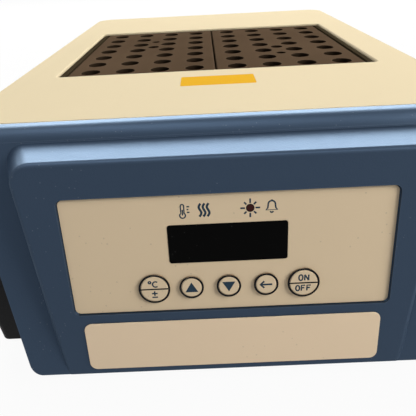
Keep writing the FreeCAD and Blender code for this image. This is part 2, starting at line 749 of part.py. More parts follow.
# The cream deck that covers the top of the case
def make_deck():
    body = new_body("top_panel")
    deck = sketch(body, "DeckOutline", "XY_Plane", lift="case_top")
    outline(deck, [
        ("-deck_half", "deck_front"),
        ("deck_half", "deck_front"),
        ("deck_half", "deck_rear", "rear_corner - fit_gap"),
        ("-deck_half", "deck_rear", "rear_corner - fit_gap"),
    ])
    pad(body, "Deck", deck, "deck_thickness")
    opening = sketch(body, "OpeningOutline", "XY_Plane", lift="case_top")
    rectangle(opening, "-well_half", "well_half", "well_front", "well_rear", "well_corner")
    pocket(body, "Opening", opening, "deck_thickness", flip=True)
    top = number(DECK_TOP)
    round_edges(
        body, "DeckEdge", "deck_bevel", lambda middle, along: near(middle.z, top),
        kind="PartDesign::Chamfer", path="Size",
    )
    return body


# The frame that lines the well and hangs by its flange under the deck
def make_liner():
    body = new_body("well_liner")
    walls = sketch(body, "LinerOutline", "XY_Plane", lift=PLATE_TOP)
    outer = "(well_half - fit_gap)"
    inner = "(well_half - fit_gap - liner_wall)"
    rectangle(
        walls, "-" + outer, outer, "well_front + fit_gap", "well_rear - fit_gap", "well_corner",
    )
    rectangle(
        walls, "-" + inner, inner, "well_front + fit_gap + liner_end_wall",
        "well_rear - fit_gap - liner_end_wall",
    )
    pad(body, "Walls", walls, "%s - liner_drop - %s" % (DECK_TOP, PLATE_TOP))
    flange = sketch(body, "FlangeOutline", "XY_Plane", lift="case_top - flange_thickness")
    rectangle(
        flange, "-(well_half + liner_flange)", "well_half + liner_flange",
        "well_front - liner_flange", "well_rear + liner_flange",
    )
    rectangle(
        flange, "-" + outer, outer, "well_front + fit_gap", "well_rear - fit_gap", "well_corner",
    )
    pad(body, "Flange", flange, "flange_thickness")
    return body


# A tube block: the left one is the right one turned half round
def make_block(label, side, turned):
    body = new_body(label)
    billet = sketch(body, "BilletOutline", "XY_Plane")
    rectangle(billet, "-block_width / 2", "block_width / 2", "-block_depth / 2", "block_depth / 2")
    pad(body, "Billet", billet, "block_height")
    top = number("block_height")
    round_edges(
        body, "TopEdge", "block_bevel", lambda middle, along: near(middle.z, top),
        kind="PartDesign::Chamfer", path="Size",
    )
    columns = int(number("column_count"))
    rows = int(number("row_count"))
    wells = sketch(body, "TubeOutline", "XY_Plane", lift="block_height")
    for column in range(columns):
        for row in range(rows):
            across = "%g * column_pitch" % (column - (columns - 1) / 2)
            back = "%g * row_pitch" % (row - (rows - 1) / 2)
            circle(wells, across, back, "tube_radius")
    pocket(body, "TubeWells", wells, "block_height")
    thermometer = sketch(body, "ThermometerOutline", "XY_Plane", lift="block_height")
    circle(thermometer, "0", "-0.5 * row_pitch", "probe_well_radius")
    pocket(body, "ThermometerWell", thermometer, "block_height")
    lifting = sketch(body, "LiftingOutline", "XY_Plane", lift="block_height")
    circle(lifting, "0", "-1.5 * row_pitch", "lift_radius")
    pocket(body, "LiftingHole", lifting, "block_height")
    if turned:
        body.Placement = FreeCAD.Placement(Vector(), FreeCAD.Rotation(Vector(0, 0, 1), 180))
    place(body, side + "block_middle", WELL_MIDDLE, SOLE_TOP)
    return body


def make_sole(label, side):
    """The flat sole under a drilled block, which closes its wells."""
    body = new_body(label)
    slab = sketch(body, "SoleOutline", "XY_Plane")
    rectangle(slab, "-block_width / 2", "block_width / 2", "-block_depth / 2", "block_depth / 2")
    pad(body, "Sole", slab, "sole_thickness")
    place(body, side + "block_middle", WELL_MIDDLE, PLATE_TOP)
    return body


# The heater: a plate, a mat stuck under it, insulation and a pan on four posts
def make_plate():
    body = new_body("heater_plate")
    slab = sketch(body, "PlateOutline", "XY_Plane", lift=PLATE_UNDER)
    rectangle(
        slab, "-plate_half", "plate_half",
        WELL_MIDDLE + " - plate_depth / 2", WELL_MIDDLE + " + plate_depth / 2",
    )
    pad(body, "Plate", slab, "plate_thickness")
    hole = sketch(body, "ProbeHoleOutline", "XZ_Plane", lift="-(%s + plate_depth / 2)" % WELL_MIDDLE)
    circle(hole, "0", PLATE_UNDER + " + plate_thickness / 2", "probe_radius + slip_gap")
    pocket(body, "ProbeHole", hole, "probe_depth", flip=True)
    return body


def make_slab(label, half, depth, base, thickness):
    body = new_body(label)
    slab = sketch(body, "SlabOutline", "XY_Plane", lift=base)
    rectangle(
        slab, "-" + half, half,
        "%s - %s / 2" % (WELL_MIDDLE, depth), "%s + %s / 2" % (WELL_MIDDLE, depth),
    )
    pad(body, "Slab", slab, thickness)
    return body


def make_pan():
    """A folded tray under the insulation, with its sides up against the plate."""
    body = new_body("heater_pan")
    fold = sketch(body, "FoldProfile", "XZ_Plane", lift="-%s" % WELL_MIDDLE)
    outline(fold, [
        ("-pan_half", PLATE_UNDER),
        ("-pan_half", PAN_UNDER),
        ("pan_half", PAN_UNDER),
        ("pan_half", PLATE_UNDER),
        ("pan_half - pan_thickness", PLATE_UNDER),
        ("pan_half - pan_thickness", PAN_TOP),
        ("-pan_half + pan_thickness", PAN_TOP),
        ("-pan_half + pan_thickness", PLATE_UNDER),
    ])
    pad(body, "Fold", fold, "pan_depth", both=True)
    return body


def make_brackets():
    """Two folded channels that stand on the tray and carry the heater plate."""
    body = new_body("plate_brackets")
    fold = sketch(body, "BracketProfile", "XZ_Plane", lift="-%s" % WELL_MIDDLE)
    for sign in ("", "-"):
        web = sign + "bracket_reach"
        inner = sign + "(bracket_reach + bracket_sheet)"
        tip = sign + "(bracket_reach + bracket_flange)"
        outline(fold, [
            (web, FLOOR_TOP),
            (tip, FLOOR_TOP),
            (tip, FLOOR_TOP + " + bracket_sheet"),
            (inner, FLOOR_TOP + " + bracket_sheet"),
            (inner, PLATE_UNDER + " - bracket_sheet"),
            (tip, PLATE_UNDER + " - bracket_sheet"),
            (tip, PLATE_UNDER),
            (web, PLATE_UNDER),
        ])
    pad(body, "Brackets", fold, "bracket_length", both=True)
    return body


def make_screws(label, places, head_base, head_height, shank_length):
    """Hexagon-headed screws that point up."""
    body = new_body(label)
    heads = sketch(body, "HeadOutline", "XY_Plane", lift=head_base)
    shanks = sketch(body, "ShankOutline", "XY_Plane", lift="%s + %s" % (head_base, head_height))
    for across, up in places:
        polygon(heads, across, up, "screw_head", 6)
        polygon(shanks, across, up, "(screw_radius - slip_gap)", 8)
    pad(body, "Heads", heads, head_height)
    pad(body, "Shanks", shanks, shank_length)
    return body


def make_cutout():
    body = new_body("thermal_cutout")
    back = "(%s + plate_depth / 2 - cutout_inset)" % WELL_MIDDLE
    can = sketch(body, "CanOutline", "XY_Plane", lift="%s - cutout_height" % PLATE_UNDER)
    circle(can, "cutout_reach", back, "cutout_radius")
    pad(body, "Can", can, "cutout_height")
    ears = sketch(body, "EarOutline", "XY_Plane", lift="%s - pan_thickness" % PLATE_UNDER)
    rectangle(
        ears, "cutout_reach - 1.6 * cutout_radius", "cutout_reach + 1.6 * cutout_radius",
        back + " - cutout_radius / 3", back + " + cutout_radius / 3",
    )
    pad(body, "Ears", ears, "pan_thickness")
    return body


def make_probe():
    body = new_body("temperature_probe")
    rear_face = "(%s + plate_depth / 2)" % WELL_MIDDLE
    tube = sketch(body, "ProbeOutline", "XZ_Plane", lift="-(%s - probe_depth + 1)" % rear_face)
    circle(tube, "0", PLATE_UNDER + " + plate_thickness / 2", "probe_radius")
    pad(body, "Probe", tube, "probe_length", flip=True)
    return body


# The console's own parts
def make_control_panel():
    body = new_body("control_panel")
    place_on_console(body)
    plate = sketch(body, "PanelOutline", "XY_Plane", lift=PANEL_BACK)
    rectangle(plate, "-panel_half", "panel_half", "-panel_bottom", "-panel_top", "panel_corner")
    rectangle(plate, "window_left", "window_right", "-window_bottom", "-window_top", "window_corner")
    for key, place_in_row, radius in KEYS:
        circle(plate, key_across(place_in_row), "-key_line", radius + " + fit_gap")
    pad(body, "Panel", plate, "panel_thickness")
    return body


def make_window():
    body = new_body("display_window")
    place_on_console(body)
    lens = sketch(body, "LensOutline", "XY_Plane", lift=PANEL_BACK)
    rectangle(
        lens, "window_left + slip_gap", "window_right - slip_gap",
        "-window_bottom + slip_gap", "-window_top - slip_gap", "window_corner - slip_gap",
    )
    pad(body, "Lens", lens, "panel_thickness + window_proud")
    lip = sketch(body, "LipOutline", "XY_Plane", lift=PANEL_BACK)
    rectangle(
        lip, "window_left - window_lip", "window_right + window_lip",
        "-window_bottom - window_lip", "-window_top + window_lip",
    )
    pad(body, "Lip", lip, "panel_thickness", flip=True)
    return body


def make_display_module():
    body = new_body("display_module")
    place_on_console(body)
    block = sketch(body, "ModuleOutline", "XY_Plane", lift="-board_depth")
    rectangle(block, "window_left + 1.5", "window_right - 1.5", "-window_bottom + 1", "-window_top - 1")
    pad(body, "Module", block, "board_depth - panel_sunk - 2 * panel_thickness - slip_gap")
    return body


def make_key(label, place_in_row, radius):
    """A round cap with a bevelled crown, on a square flange that the panel keeps in, and a stem."""
    body = new_body(label)
    place_on_console(body, key_across(place_in_row), "key_line")
    flange = sketch(body, "FlangeOutline", "XY_Plane", lift=KEY_FLANGE_BASE)
    square(flange, "0", "0", "(%s + key_flange)" % radius)
    pad(body, "Flange", flange, "key_flange")
    cap = sketch(body, "CapOutline", "XY_Plane", lift=KEY_FLANGE_BASE)
    circle(cap, "0", "0", radius)
    pad(body, "Cap", cap, "-panel_sunk + key_crown - %s" % KEY_FLANGE_BASE)
    stem = sketch(body, "StemOutline", "XY_Plane", lift=KEY_FLANGE_BASE)
    square(stem, "0", "0", "key_stem")
    pad(body, "Stem", stem, "key_stem_length", flip=True)
    crown = number("-panel_sunk + key_crown")
    lean = math.radians(number(CONSOLE_TILT))
    turn = body.Placement.inverse()

    def on_crown(middle, along):
        return near(middle.z, crown)

    round_edges(
        body, "CrownBevel", "key_bevel", on_crown, kind="PartDesign::Chamfer", path="Size",
    )
    return body


def make_key_switches():
    body = new_body("key_switches")
    place_on_console(body)
    plunger_top = "(%s - key_stem_length - key_travel - slip_gap)" % KEY_FLANGE_BASE
    cases = sketch(body, "SwitchOutline", "XY_Plane", lift="-board_depth")
    plungers = sketch(body, "PlungerOutline", "XY_Plane", lift="-board_depth")
    for key, place_in_row, radius in KEYS:
        square(cases, key_across(place_in_row), "-key_line", "switch_half")
        square(plungers, key_across(place_in_row), "-key_line", "key_stem")
    pad(body, "Cases", cases, "board_depth + %s - key_travel" % plunger_top)
    pad(body, "Plungers", plungers, "board_depth + %s" % plunger_top)
    return body


def make_lamps():
    body = new_body("indicator_lamps")
    place_on_console(body)
    lamps = sketch(body, "LampOutline", "XY_Plane", lift="-board_depth")
    for lamp in ("lamp_heat", "lamp_alarm"):
        circle(lamps, lamp, "-lamp_line", "lamp_radius")
    pad(body, "Lamps", lamps, "board_depth + %s - slip_gap" % PANEL_BACK)
    return body


def make_control_board():
    body = new_body("control_board")
    place_on_console(body)
    board = sketch(body, "BoardOutline", "XY_Plane", lift=BOARD_BACK)
    rectangle(board, "-board_half", "board_half", "-board_bottom", "-board_top")
    for across, up in board_post_places():
        square(board, across, up, "(stake_half + slip_gap)")
    pad(body, "Board", board, "board_thickness")
    return body


def make_label():
    body = new_body("lower_label")
    place_on_console(body)
    label = sketch(body, "LabelOutline", "XY_Plane")
    rectangle(label, "-label_half", "label_half", "-label_bottom", "-label_top", "label_corner")
    pad(body, "Label", label, "label_thickness")
    return body


# Inside the rear of the case: the power board and what stands on it
def make_supply_board():
    body = new_body("power_board")
    board = sketch(body, "SupplyOutline", "XY_Plane", lift="supply_height")
    rectangle(board, "-supply_half", "supply_half", "supply_front", "supply_rear")
    for across, up in supply_post_places():
        square(board, across, up, "(stake_half + slip_gap)")
    pad(body, "Board", board, "board_thickness")
    return body


def make_box_on_board(label, left, right, front, rear, height):
    body = new_body(label)
    block = sketch(body, "BlockOutline", "XY_Plane", lift="supply_height + board_thickness")
    rectangle(
        block, "supply_half * %s" % left, "supply_half * %s" % right,
        "supply_front + %s" % front, "supply_front + %s" % rear,
    )
    pad(body, "Block", block, height)
    return body


def make_heat_sink():
    """A finned heat sink that stands on the power board."""
    body = new_body("triac_heat_sink")
    comb = sketch(body, "CombOutline", "XY_Plane", lift="supply_height + board_thickness")
    left = "0.42 * supply_half"
    corners = [(left, "supply_front + 8"), (left + " + 22", "supply_front + 8")]
    for fin in range(4):
        base = 22 - 6 * fin
        corners.append((left + " + %d" % base, "supply_front + 24"))
        corners.append((left + " + %d" % (base - 2), "supply_front + 24"))
        if fin < 3:
            corners.append((left + " + %d" % (base - 2), "supply_front + 11"))
            corners.append((left + " + %d" % (base - 6), "supply_front + 11"))
    corners[-1] = (left, "supply_front + 24")
    corners[-2] = (left + " + 4", "supply_front + 24")
    outline(comb, corners)
    pad(body, "Comb", comb, "30")
    return body


# The rear fittings, each in the plane of the rear wall
def make_inlet():
    body = new_body("power_inlet")
    place(body, "inlet_across", "case_rear", "rear_line")
    flange = sketch(body, "FlangeOutline", "XZ_Plane")
    rectangle(flange, "-inlet_flange_half", "inlet_flange_half", "-inlet_flange_tall", "inlet_flange_tall", "3")
    pad(body, "Flange", flange, "bezel_thickness", flip=True)
    shell = sketch(body, "ShellOutline", "XZ_Plane")
    rectangle(shell, "-inlet_half", "inlet_half", "-inlet_tall", "inlet_tall")
    pad(body, "Shell", shell, "inlet_reach")
    socket = sketch(body, "SocketOutline", "XZ_Plane", lift="-bezel_thickness")
    outline(socket, [
        ("-socket_half", "socket_rise + socket_tall"),
        ("-socket_half", "socket_rise - socket_tall + socket_bevel"),
        ("-socket_half + socket_bevel", "socket_rise - socket_tall"),
        ("socket_half - socket_bevel", "socket_rise - socket_tall"),
        ("socket_half", "socket_rise - socket_tall + socket_bevel"),
        ("socket_half", "socket_rise + socket_tall"),
    ])
    pocket(body, "Socket", socket, "socket_depth", flip=True)
    drawer = sketch(body, "DrawerSlot", "XZ_Plane", lift="-bezel_thickness")
    rectangle(
        drawer, "-drawer_half - slip_gap", "drawer_half + slip_gap",
        "-drawer_drop - drawer_tall - slip_gap", "-drawer_drop + drawer_tall + slip_gap",
    )
    pocket(body, "Drawer", drawer, "drawer_depth + slip_gap", flip=True)
    screws = sketch(body, "ScrewHoles", "XZ_Plane", lift="-bezel_thickness")
    for side_of in ("-", ""):
        circle(screws, side_of + "inlet_screw_reach", "0", "screw_radius")
    pocket(body, "Holes", screws, "bezel_thickness", flip=True)
    return body


def make_pins():
    body = new_body("inlet_pins")
    place(body, "inlet_across", "case_rear", "rear_line + socket_rise")
    pins = sketch(body, "PinOutline", "XZ_Plane", lift="socket_depth - bezel_thickness")
    rectangle(pins, "-pin_pitch - 1", "-pin_pitch + 1", "-pin_drop - 2", "-pin_drop + 2")
    rectangle(pins, "pin_pitch - 1", "pin_pitch + 1", "-pin_drop - 2", "-pin_drop + 2")
    rectangle(pins, "-1", "1", "pin_rise - 2", "pin_rise + 2")
    pad(body, "Pins", pins, "pin_reach", flip=True)
    return body


def make_inlet_screws():
    body = new_body("inlet_screws")
    place(body, "inlet_across", "case_rear", "rear_line")
    shanks = sketch(body, "ShankOutline", "XZ_Plane", lift="-bezel_thickness")
    nuts = sketch(body, "NutOutline", "XZ_Plane", lift="case_wall")
    for side_of in ("-", ""):
        polygon(shanks, side_of + "inlet_screw_reach", "0", "(screw_radius - slip_gap)", 8)
        polygon(nuts, side_of + "inlet_screw_reach", "0", "screw_head", 6)
    pad(body, "Shanks", shanks, "bezel_thickness + case_wall")
    pad(body, "Nuts", nuts, "screw_radius")
    return body


def make_drawer():
    body = new_body("fuse_drawer")
    place(body, "inlet_across", "case_rear", "rear_line - drawer_drop")
    tray = sketch(body, "DrawerOutline", "XZ_Plane", lift="-bezel_thickness")
    rectangle(tray, "-drawer_half", "drawer_half", "-drawer_tall", "drawer_tall")
    pad(body, "Drawer", tray, "drawer_depth")
    seat = sketch(body, "FuseSeat", "XY_Plane", lift="drawer_tall")
    seat_end = "-drawer_depth + bezel_thickness + fuse_inset"
    rectangle(
        seat, "-fuse_length / 2 - slip_gap", "fuse_length / 2 + slip_gap",
        seat_end, seat_end + " + 2 * (fuse_radius + slip_gap)",
    )
    pocket(body, "Seat", seat, "2 * fuse_radius + slip_gap")
    notch = sketch(body, "NotchOutline", "XY_Plane", lift="drawer_tall")
    rectangle(notch, "-notch_half", "notch_half", "0", "bezel_thickness")
    pocket(body, "Notch", notch, "bezel_thickness")
    return body


def make_fuse():
    body = new_body("fuse")
    back = "case_rear - drawer_depth + bezel_thickness + fuse_inset + fuse_radius + slip_gap"
    up = "rear_line - drawer_drop + drawer_tall - fuse_radius - slip_gap"
    place(body, "inlet_across", back, up)
    glass = sketch(body, "GlassOutline", "YZ_Plane")
    circle(glass, "0", "0", "fuse_radius")
    pad(body, "Glass", glass, "fuse_length", both=True)
    return body


def make_switch():
    body = new_body("power_switch")
    place(body, "rocker_across", "case_rear", "rear_line")
    case_half = "(rocker_half + switch_wall)"
    case_tall = "(rocker_tall + switch_end)"
    bezel = sketch(body, "BezelOutline", "XZ_Plane")
    rectangle(
        bezel, "-(%s + switch_rim)" % case_half, "%s + switch_rim" % case_half,
        "-(%s + switch_rim)" % case_tall, "%s + switch_rim" % case_tall,
    )
    pad(body, "Bezel", bezel, "bezel_thickness", flip=True)
    case = sketch(body, "CaseOutline", "XZ_Plane")
    rectangle(case, "-" + case_half, case_half, "-" + case_tall, case_tall)
    pad(body, "Case", case, "switch_depth")
    hollow = sketch(body, "HollowOutline", "XZ_Plane", lift="-bezel_thickness")
    rectangle(
        hollow, "-rocker_half - fit_gap", "rocker_half + fit_gap",
        "-rocker_tall - 3 * fit_gap", "rocker_tall + 3 * fit_gap",
    )
    pocket(body, "Hollow", hollow, "switch_depth - switch_end", flip=True)
    pin = sketch(body, "PinOutline", "YZ_Plane")
    circle(pin, "-rocker_pivot", "0", "rocker_pin + slip_gap / 2")
    pocket(body, "PinHoles", pin, "2 * (rocker_half + switch_wall - fit_gap)", both=True)
    return body


def make_rocker():
    """The rocker, drawn level about its pin and then tilted to its off position."""
    body = new_body("power_rocker")
    place(body, "rocker_across", "case_rear - rocker_pivot", "rear_line", "rocker_tilt")
    paddle = sketch(body, "PaddleProfile", "YZ_Plane")
    tip = "(rocker_pivot - fit_gap)"
    outline(paddle, [
        (tip, "rocker_tall"),
        (tip + " / 2", "0"),
        (tip, "-rocker_tall"),
        ("rocker_pin", "-rocker_tall"),
        ("-3 * rocker_pin", "-rocker_tall / 2"),
        ("-3 * rocker_pin", "rocker_tall / 2"),
        ("rocker_pin", "rocker_tall"),
    ])
    pad(body, "Paddle", paddle, "2 * rocker_half", both=True)
    pin = sketch(body, "PinOutline", "YZ_Plane")
    circle(pin, "0", "0", "rocker_pin")
    pad(body, "Pin", pin, "2 * (rocker_half + switch_wall - 2 * fit_gap)", both=True)
    return body


def make_feet():
    body = new_body("rubber_feet")
    feet = sketch(body, "FootOutline", "XY_Plane", lift="foot_height")
    for across, up in foot_places():
        circle(feet, across, up, "foot_radius")
    pad(body, "Feet", feet, "foot_height", flip=True)
    return body


pieces = [
    make_housing(),
    make_tray(),
    make_deck(),
    make_liner(),
    make_block("heating_block_right", "", False),
    make_block("heating_block_left", "-", True),
    make_sole("block_sole_right", ""),
    make_sole("block_sole_left", "-"),
    make_plate(),
    make_slab("heater_mat", "mat_half", "mat_depth", PLATE_UNDER + " - mat_thickness", "mat_thickness"),
    make_slab("insulation_pad", "mat_half", "mat_depth", PAN_TOP, "pad_thickness"),
    make_pan(),
    make_brackets(),
    make_cutout(),
    make_probe(),
    make_control_panel(),
    make_window(),
    make_display_module(),
    make_key_switches(),
    make_lamps(),
    make_control_board(),
    make_label(),
    make_supply_board(),
    make_box_on_board("transformer", "-0.85", "-0.25", "5", "31", "26"),
    make_box_on_board("power_relay", "-0.15", "0.25", "10", "26", "16"),
    make_heat_sink(),
    make_inlet(),
    make_pins(),
    make_inlet_screws(),
    make_drawer(),
    make_fuse(),
    make_switch(),
    make_rocker(),
    make_feet(),
    make_screws("case_screws", case_boss_places(), "screw_seat - screw_radius", "screw_radius", "screw_reach"),
]
for key_label, key_place, key_radius in KEYS:
    pieces.append(make_key(key_label, key_place, key_radius))
doc.recompute()

# Nothing is written unless every feature and every piece came out whole
for item in doc.Objects:
    if "Invalid" in item.State or "Error" in item.State:
        raise ValueError("%s failed: %s" % (item.Name, item.State))
os.makedirs("parts", exist_ok=True)
facets = 0
for piece in pieces:
    shape = piece.Shape
    if shape.isNull() or not shape.isValid() or not shape.Solids:
        raise ValueError("%s is not a valid solid" % piece.Label)
    shape.exportStep(os.path.join("parts", piece.Label + ".step"))
    triangles = MeshPart.meshFromShape(Shape=shape, LinearDeflection=0.1, AngularDeflection=0.3).CountFacets
    facets += triangles
    box = shape.BoundBox
    print("%-20s %d solids %9.0f mm3 %5d facets  x %.1f %.1f  y %.1f %.1f  z %.1f %.1f" % (
        piece.Label, len(shape.Solids), shape.Volume, triangles,
        box.XMin, box.XMax, box.YMin, box.YMax, box.ZMin, box.ZMax,
    ))
print("facets in all:", facets)
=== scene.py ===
# %% [markdown]
# # A dry bath incubator
# A dry bath keeps rows of sample tubes warm in two drilled aluminium blocks. This lesson dresses
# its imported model: the model gives every part its place, and each cell here adds one finish or
# one piece on top of it.

# %% Read the fixed frame
import math

import bmesh
import bpy
from mathutils import Matrix, Vector
from mathutils.bvhtree import BVHTree


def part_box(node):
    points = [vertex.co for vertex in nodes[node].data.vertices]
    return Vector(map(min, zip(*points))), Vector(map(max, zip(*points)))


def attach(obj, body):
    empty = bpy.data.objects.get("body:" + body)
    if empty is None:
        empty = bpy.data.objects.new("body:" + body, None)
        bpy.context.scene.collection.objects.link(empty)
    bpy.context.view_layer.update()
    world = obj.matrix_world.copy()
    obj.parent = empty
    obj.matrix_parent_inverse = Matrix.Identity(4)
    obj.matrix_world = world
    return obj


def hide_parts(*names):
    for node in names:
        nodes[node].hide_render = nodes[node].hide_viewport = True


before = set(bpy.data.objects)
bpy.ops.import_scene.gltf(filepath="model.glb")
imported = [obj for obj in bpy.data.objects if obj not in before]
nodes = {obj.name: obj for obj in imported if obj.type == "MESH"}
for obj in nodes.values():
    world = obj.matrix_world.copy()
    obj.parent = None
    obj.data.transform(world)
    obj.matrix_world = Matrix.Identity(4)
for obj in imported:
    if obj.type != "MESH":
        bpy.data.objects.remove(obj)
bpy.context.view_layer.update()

# %% [markdown]
# The camera stands close above the front edge and looks down at the console, as someone who leans
# over the bench does. From so near, the front is large and the deck shrinks away fast. The view
# could be set by eye, but its place and its three axes were worked out from the console's straight
# edges first, because a small error here shifts every later detail.

# %% Set up the camera
EYE = Vector((-0.00530, -0.25064, 0.14290))
ROW_RIGHT = Vector((0.9988924, -0.01635934, -0.04411751))
ROW_DOWN = Vector((-0.04594093, -0.54172603, -0.83929872))
ROW_FORWARD = Vector((-0.01016923, 0.84039591, -0.54187758))
FOCAL_SHARE = 400 / 416
SENSOR_WIDTH, NEAREST_SEEN = 36, 0.01

camera_data = bpy.data.cameras.new("bench_camera")
camera_data.sensor_width = SENSOR_WIDTH
camera_data.lens = SENSOR_WIDTH * FOCAL_SHARE
camera_data.clip_start = NEAREST_SEEN
camera = bpy.data.objects.new("bench_camera", camera_data)
turn = Matrix((ROW_RIGHT, -ROW_DOWN, -ROW_FORWARD)).transposed()
camera.matrix_world = Matrix.Translation(EYE) @ turn.to_4x4()
bpy.context.scene.collection.objects.link(camera)
bpy.context.scene.camera = camera
bpy.context.scene.view_settings.view_transform = "Standard"
print("lens", round(camera_data.lens, 3), "mm")

# %% [markdown]
# Surfaces in Blender are trees of nodes, and a tree that is written link by link is long and hard
# to read. Two helpers keep it short: one adds a node and feeds it, and one adds a calculation and
# gives its result.

# %% Write the node helpers


def add(tree, kind, links=None, **settings):
    """Add a node, set its properties, and feed its inputs from values or sockets."""
    node = tree.nodes.new(kind)
    for key, value in settings.items():
        setattr(node, key, value)
    for key, value in (links or {}).items():
        if isinstance(value, bpy.types.NodeSocket):
            tree.links.new(value, node.inputs[key])
        else:
            node.inputs[key].default_value = value
    return node


def calc(tree, operation, *values):
    """Add a Math node that works on values or sockets, and give its result."""
    node = add(tree, "ShaderNodeMath", dict(enumerate(values)), operation=operation)
    return node.outputs[0]


print("node helpers:", add.__name__, calc.__name__)

# %% [markdown]
# The ground is plain white. A bright surface could give that too, but it would light the object
# strongly from below. So to the camera the ground glows white, and to everything else it is an
# ordinary pale surface, which still takes the shadow and gives soft light back.

# %% Lay the floor
FLOOR_GREY, FLOOR_ROUGHNESS, FLOOR_GLOW, FLOOR_REACH = 0.45, 0.9, 0.95, 12.0


def seen_directly(tree):
    """1 for what the camera, a mirror or clear glass shows, 0 for plain lighting."""
    path = add(tree, "ShaderNodeLightPath").outputs
    seen = calc(tree, "MAXIMUM", path["Is Camera Ray"], path["Is Glossy Ray"])
    return calc(tree, "MAXIMUM", seen, path["Is Transmission Ray"])


floor_material = bpy.data.materials.new("bench_white")
floor_material.use_nodes = True
tree = floor_material.node_tree
pale = tree.nodes["Principled BSDF"]
pale.inputs["Base Color"].default_value = (FLOOR_GREY, FLOOR_GREY, FLOOR_GREY, 1)
pale.inputs["Roughness"].default_value = FLOOR_ROUGHNESS
share = calc(tree, "MULTIPLY", seen_directly(tree), FLOOR_GLOW)
glow = add(tree, "ShaderNodeEmission")
mix = add(tree, "ShaderNodeMixShader", {0: share, 1: pale.outputs[0], 2: glow.outputs[0]})
tree.links.new(mix.outputs[0], tree.nodes["Material Output"].inputs["Surface"])

floor_mesh = bpy.data.meshes.new("bench")
corners = [(x * FLOOR_REACH, y * FLOOR_REACH, 0) for x, y in ((-1, -1), (1, -1), (1, 1), (-1, 1))]
floor_mesh.from_pydata(corners, [], [(0, 1, 2, 3)])
floor = bpy.data.objects.new("bench", floor_mesh)
floor_mesh.materials.append(floor_material)
bpy.context.scene.collection.objects.link(floor)
print("floor laid:", 2 * FLOOR_REACH, "m wide")

# %% [markdown]
# The room behind is as white as the ground. A strong white world could show that, but it would
# wash out every shade. So the world has two sides: white where it is looked at, and a weak, cool
# light for everything else, which keeps the shaded parts readable.

# %% Set the world
ROOM_COLOUR, ROOM_STRENGTH = (0.95, 0.97, 1.0, 1), 0.25

world = bpy.data.worlds.new("white_room")
world.use_nodes = True
bpy.context.scene.world = world
sky = world.node_tree
room = sky.nodes["Background"]
room.inputs["Color"].default_value = ROOM_COLOUR
room.inputs["Strength"].default_value = ROOM_STRENGTH
white = add(sky, "ShaderNodeBackground", {"Color": (1, 1, 1, 1)})
mix = add(sky, "ShaderNodeMixShader", {
    0: seen_directly(sky), 1: room.outputs[0], 2: white.outputs[0]})
sky.links.new(mix.outputs[0], sky.nodes["World Output"].inputs["Surface"])
print("world:", world.name)

# %% [markdown]
# Light comes mostly from behind, like a row of windows with a bright strip above. It skims the
# deck and the tops of the moulding, and leaves the console face in its own shade. A warm lamp on
# the right lights that face and throws the console's soft shadow on the left wing. More light
# could also draw the wide highlights of moulded plastic, but it would bleach the deck. So two
# further lamps are seen in gloss alone and give no plain light.

# %% Hang the lamps
MIDDLE = (0, 0, 0.05)
WARM, DAYLIGHT = (1.0, 0.97, 0.92), (1.0, 0.99, 0.97)


def soft_lamp(name, place, width, height, watts, colour):
    """A rectangular lamp that points at the middle of the object."""
    data = bpy.data.lights.new(name, "AREA")
    data.shape = "RECTANGLE"
    data.size = width
    data.size_y = height
    data.energy = watts
    data.color = colour
    lamp = bpy.data.objects.new(name, data)
    lamp.location = place
    lamp.rotation_euler = (Vector(MIDDLE) - Vector(place)).to_track_quat("-Z", "Y").to_euler()
    lamp.visible_camera = False
    bpy.context.scene.collection.objects.link(lamp)
    return lamp


soft_lamp("ceiling", (1.15, -0.58, 0.86), 0.8, 0.7, 19.0, WARM)
soft_lamp("rear_window", (0.0, 1.45, 0.82), 2.4, 0.42, 36, DAYLIGHT)
soft_lamp("high_strip", (0.0, 1.05, 1.15), 2.2, 0.12, 6.0, DAYLIGHT)
glare = soft_lamp("glare", (0.0, 1.45, 0.80), 3.4, 0.8, 60, DAYLIGHT)
overhead = soft_lamp("overhead", (-0.3, -0.45, 1.25), 1.6, 0.6, 16, DAYLIGHT)
for lamp in (glare, overhead):
    lamp.visible_diffuse = False

# %% [markdown]
# Moulded plastic is never quite smooth: the tool leaves a fine grain, and handling leaves specks
# of dust and paler edges. Each material could hold nodes of its own for that, but then every
# change has to be made twenty times. So these effects are node groups, built once and tuned by
# named inputs. A helper comes first, which makes an empty group with its sockets.

# %% Write the group helper


def new_group(name, inputs, outputs):
    """A shader node group with named sockets. Inputs are (name, kind, default)."""
    group = bpy.data.node_groups.new(name, "ShaderNodeTree")
    for label, kind, default in inputs:
        socket = group.interface.new_socket(name=label, in_out="INPUT", socket_type=kind)
        socket.default_value = default
    for label, kind in outputs:
        group.interface.new_socket(name=label, in_out="OUTPUT", socket_type=kind)
    start = group.nodes.new("NodeGroupInput")
    end = group.nodes.new("NodeGroupOutput")
    return group, start, end


print("node groups so far:", len(bpy.data.node_groups))

# %% [markdown]
# The grain is the texture of the tool's own surface. A real height map could carry it, but a
# noise needs no picture and has no seams. A fine noise gives the height, and a broad one varies
# the tone a little, as plastic does where it cooled unevenly.

# %% Build the moulded grain


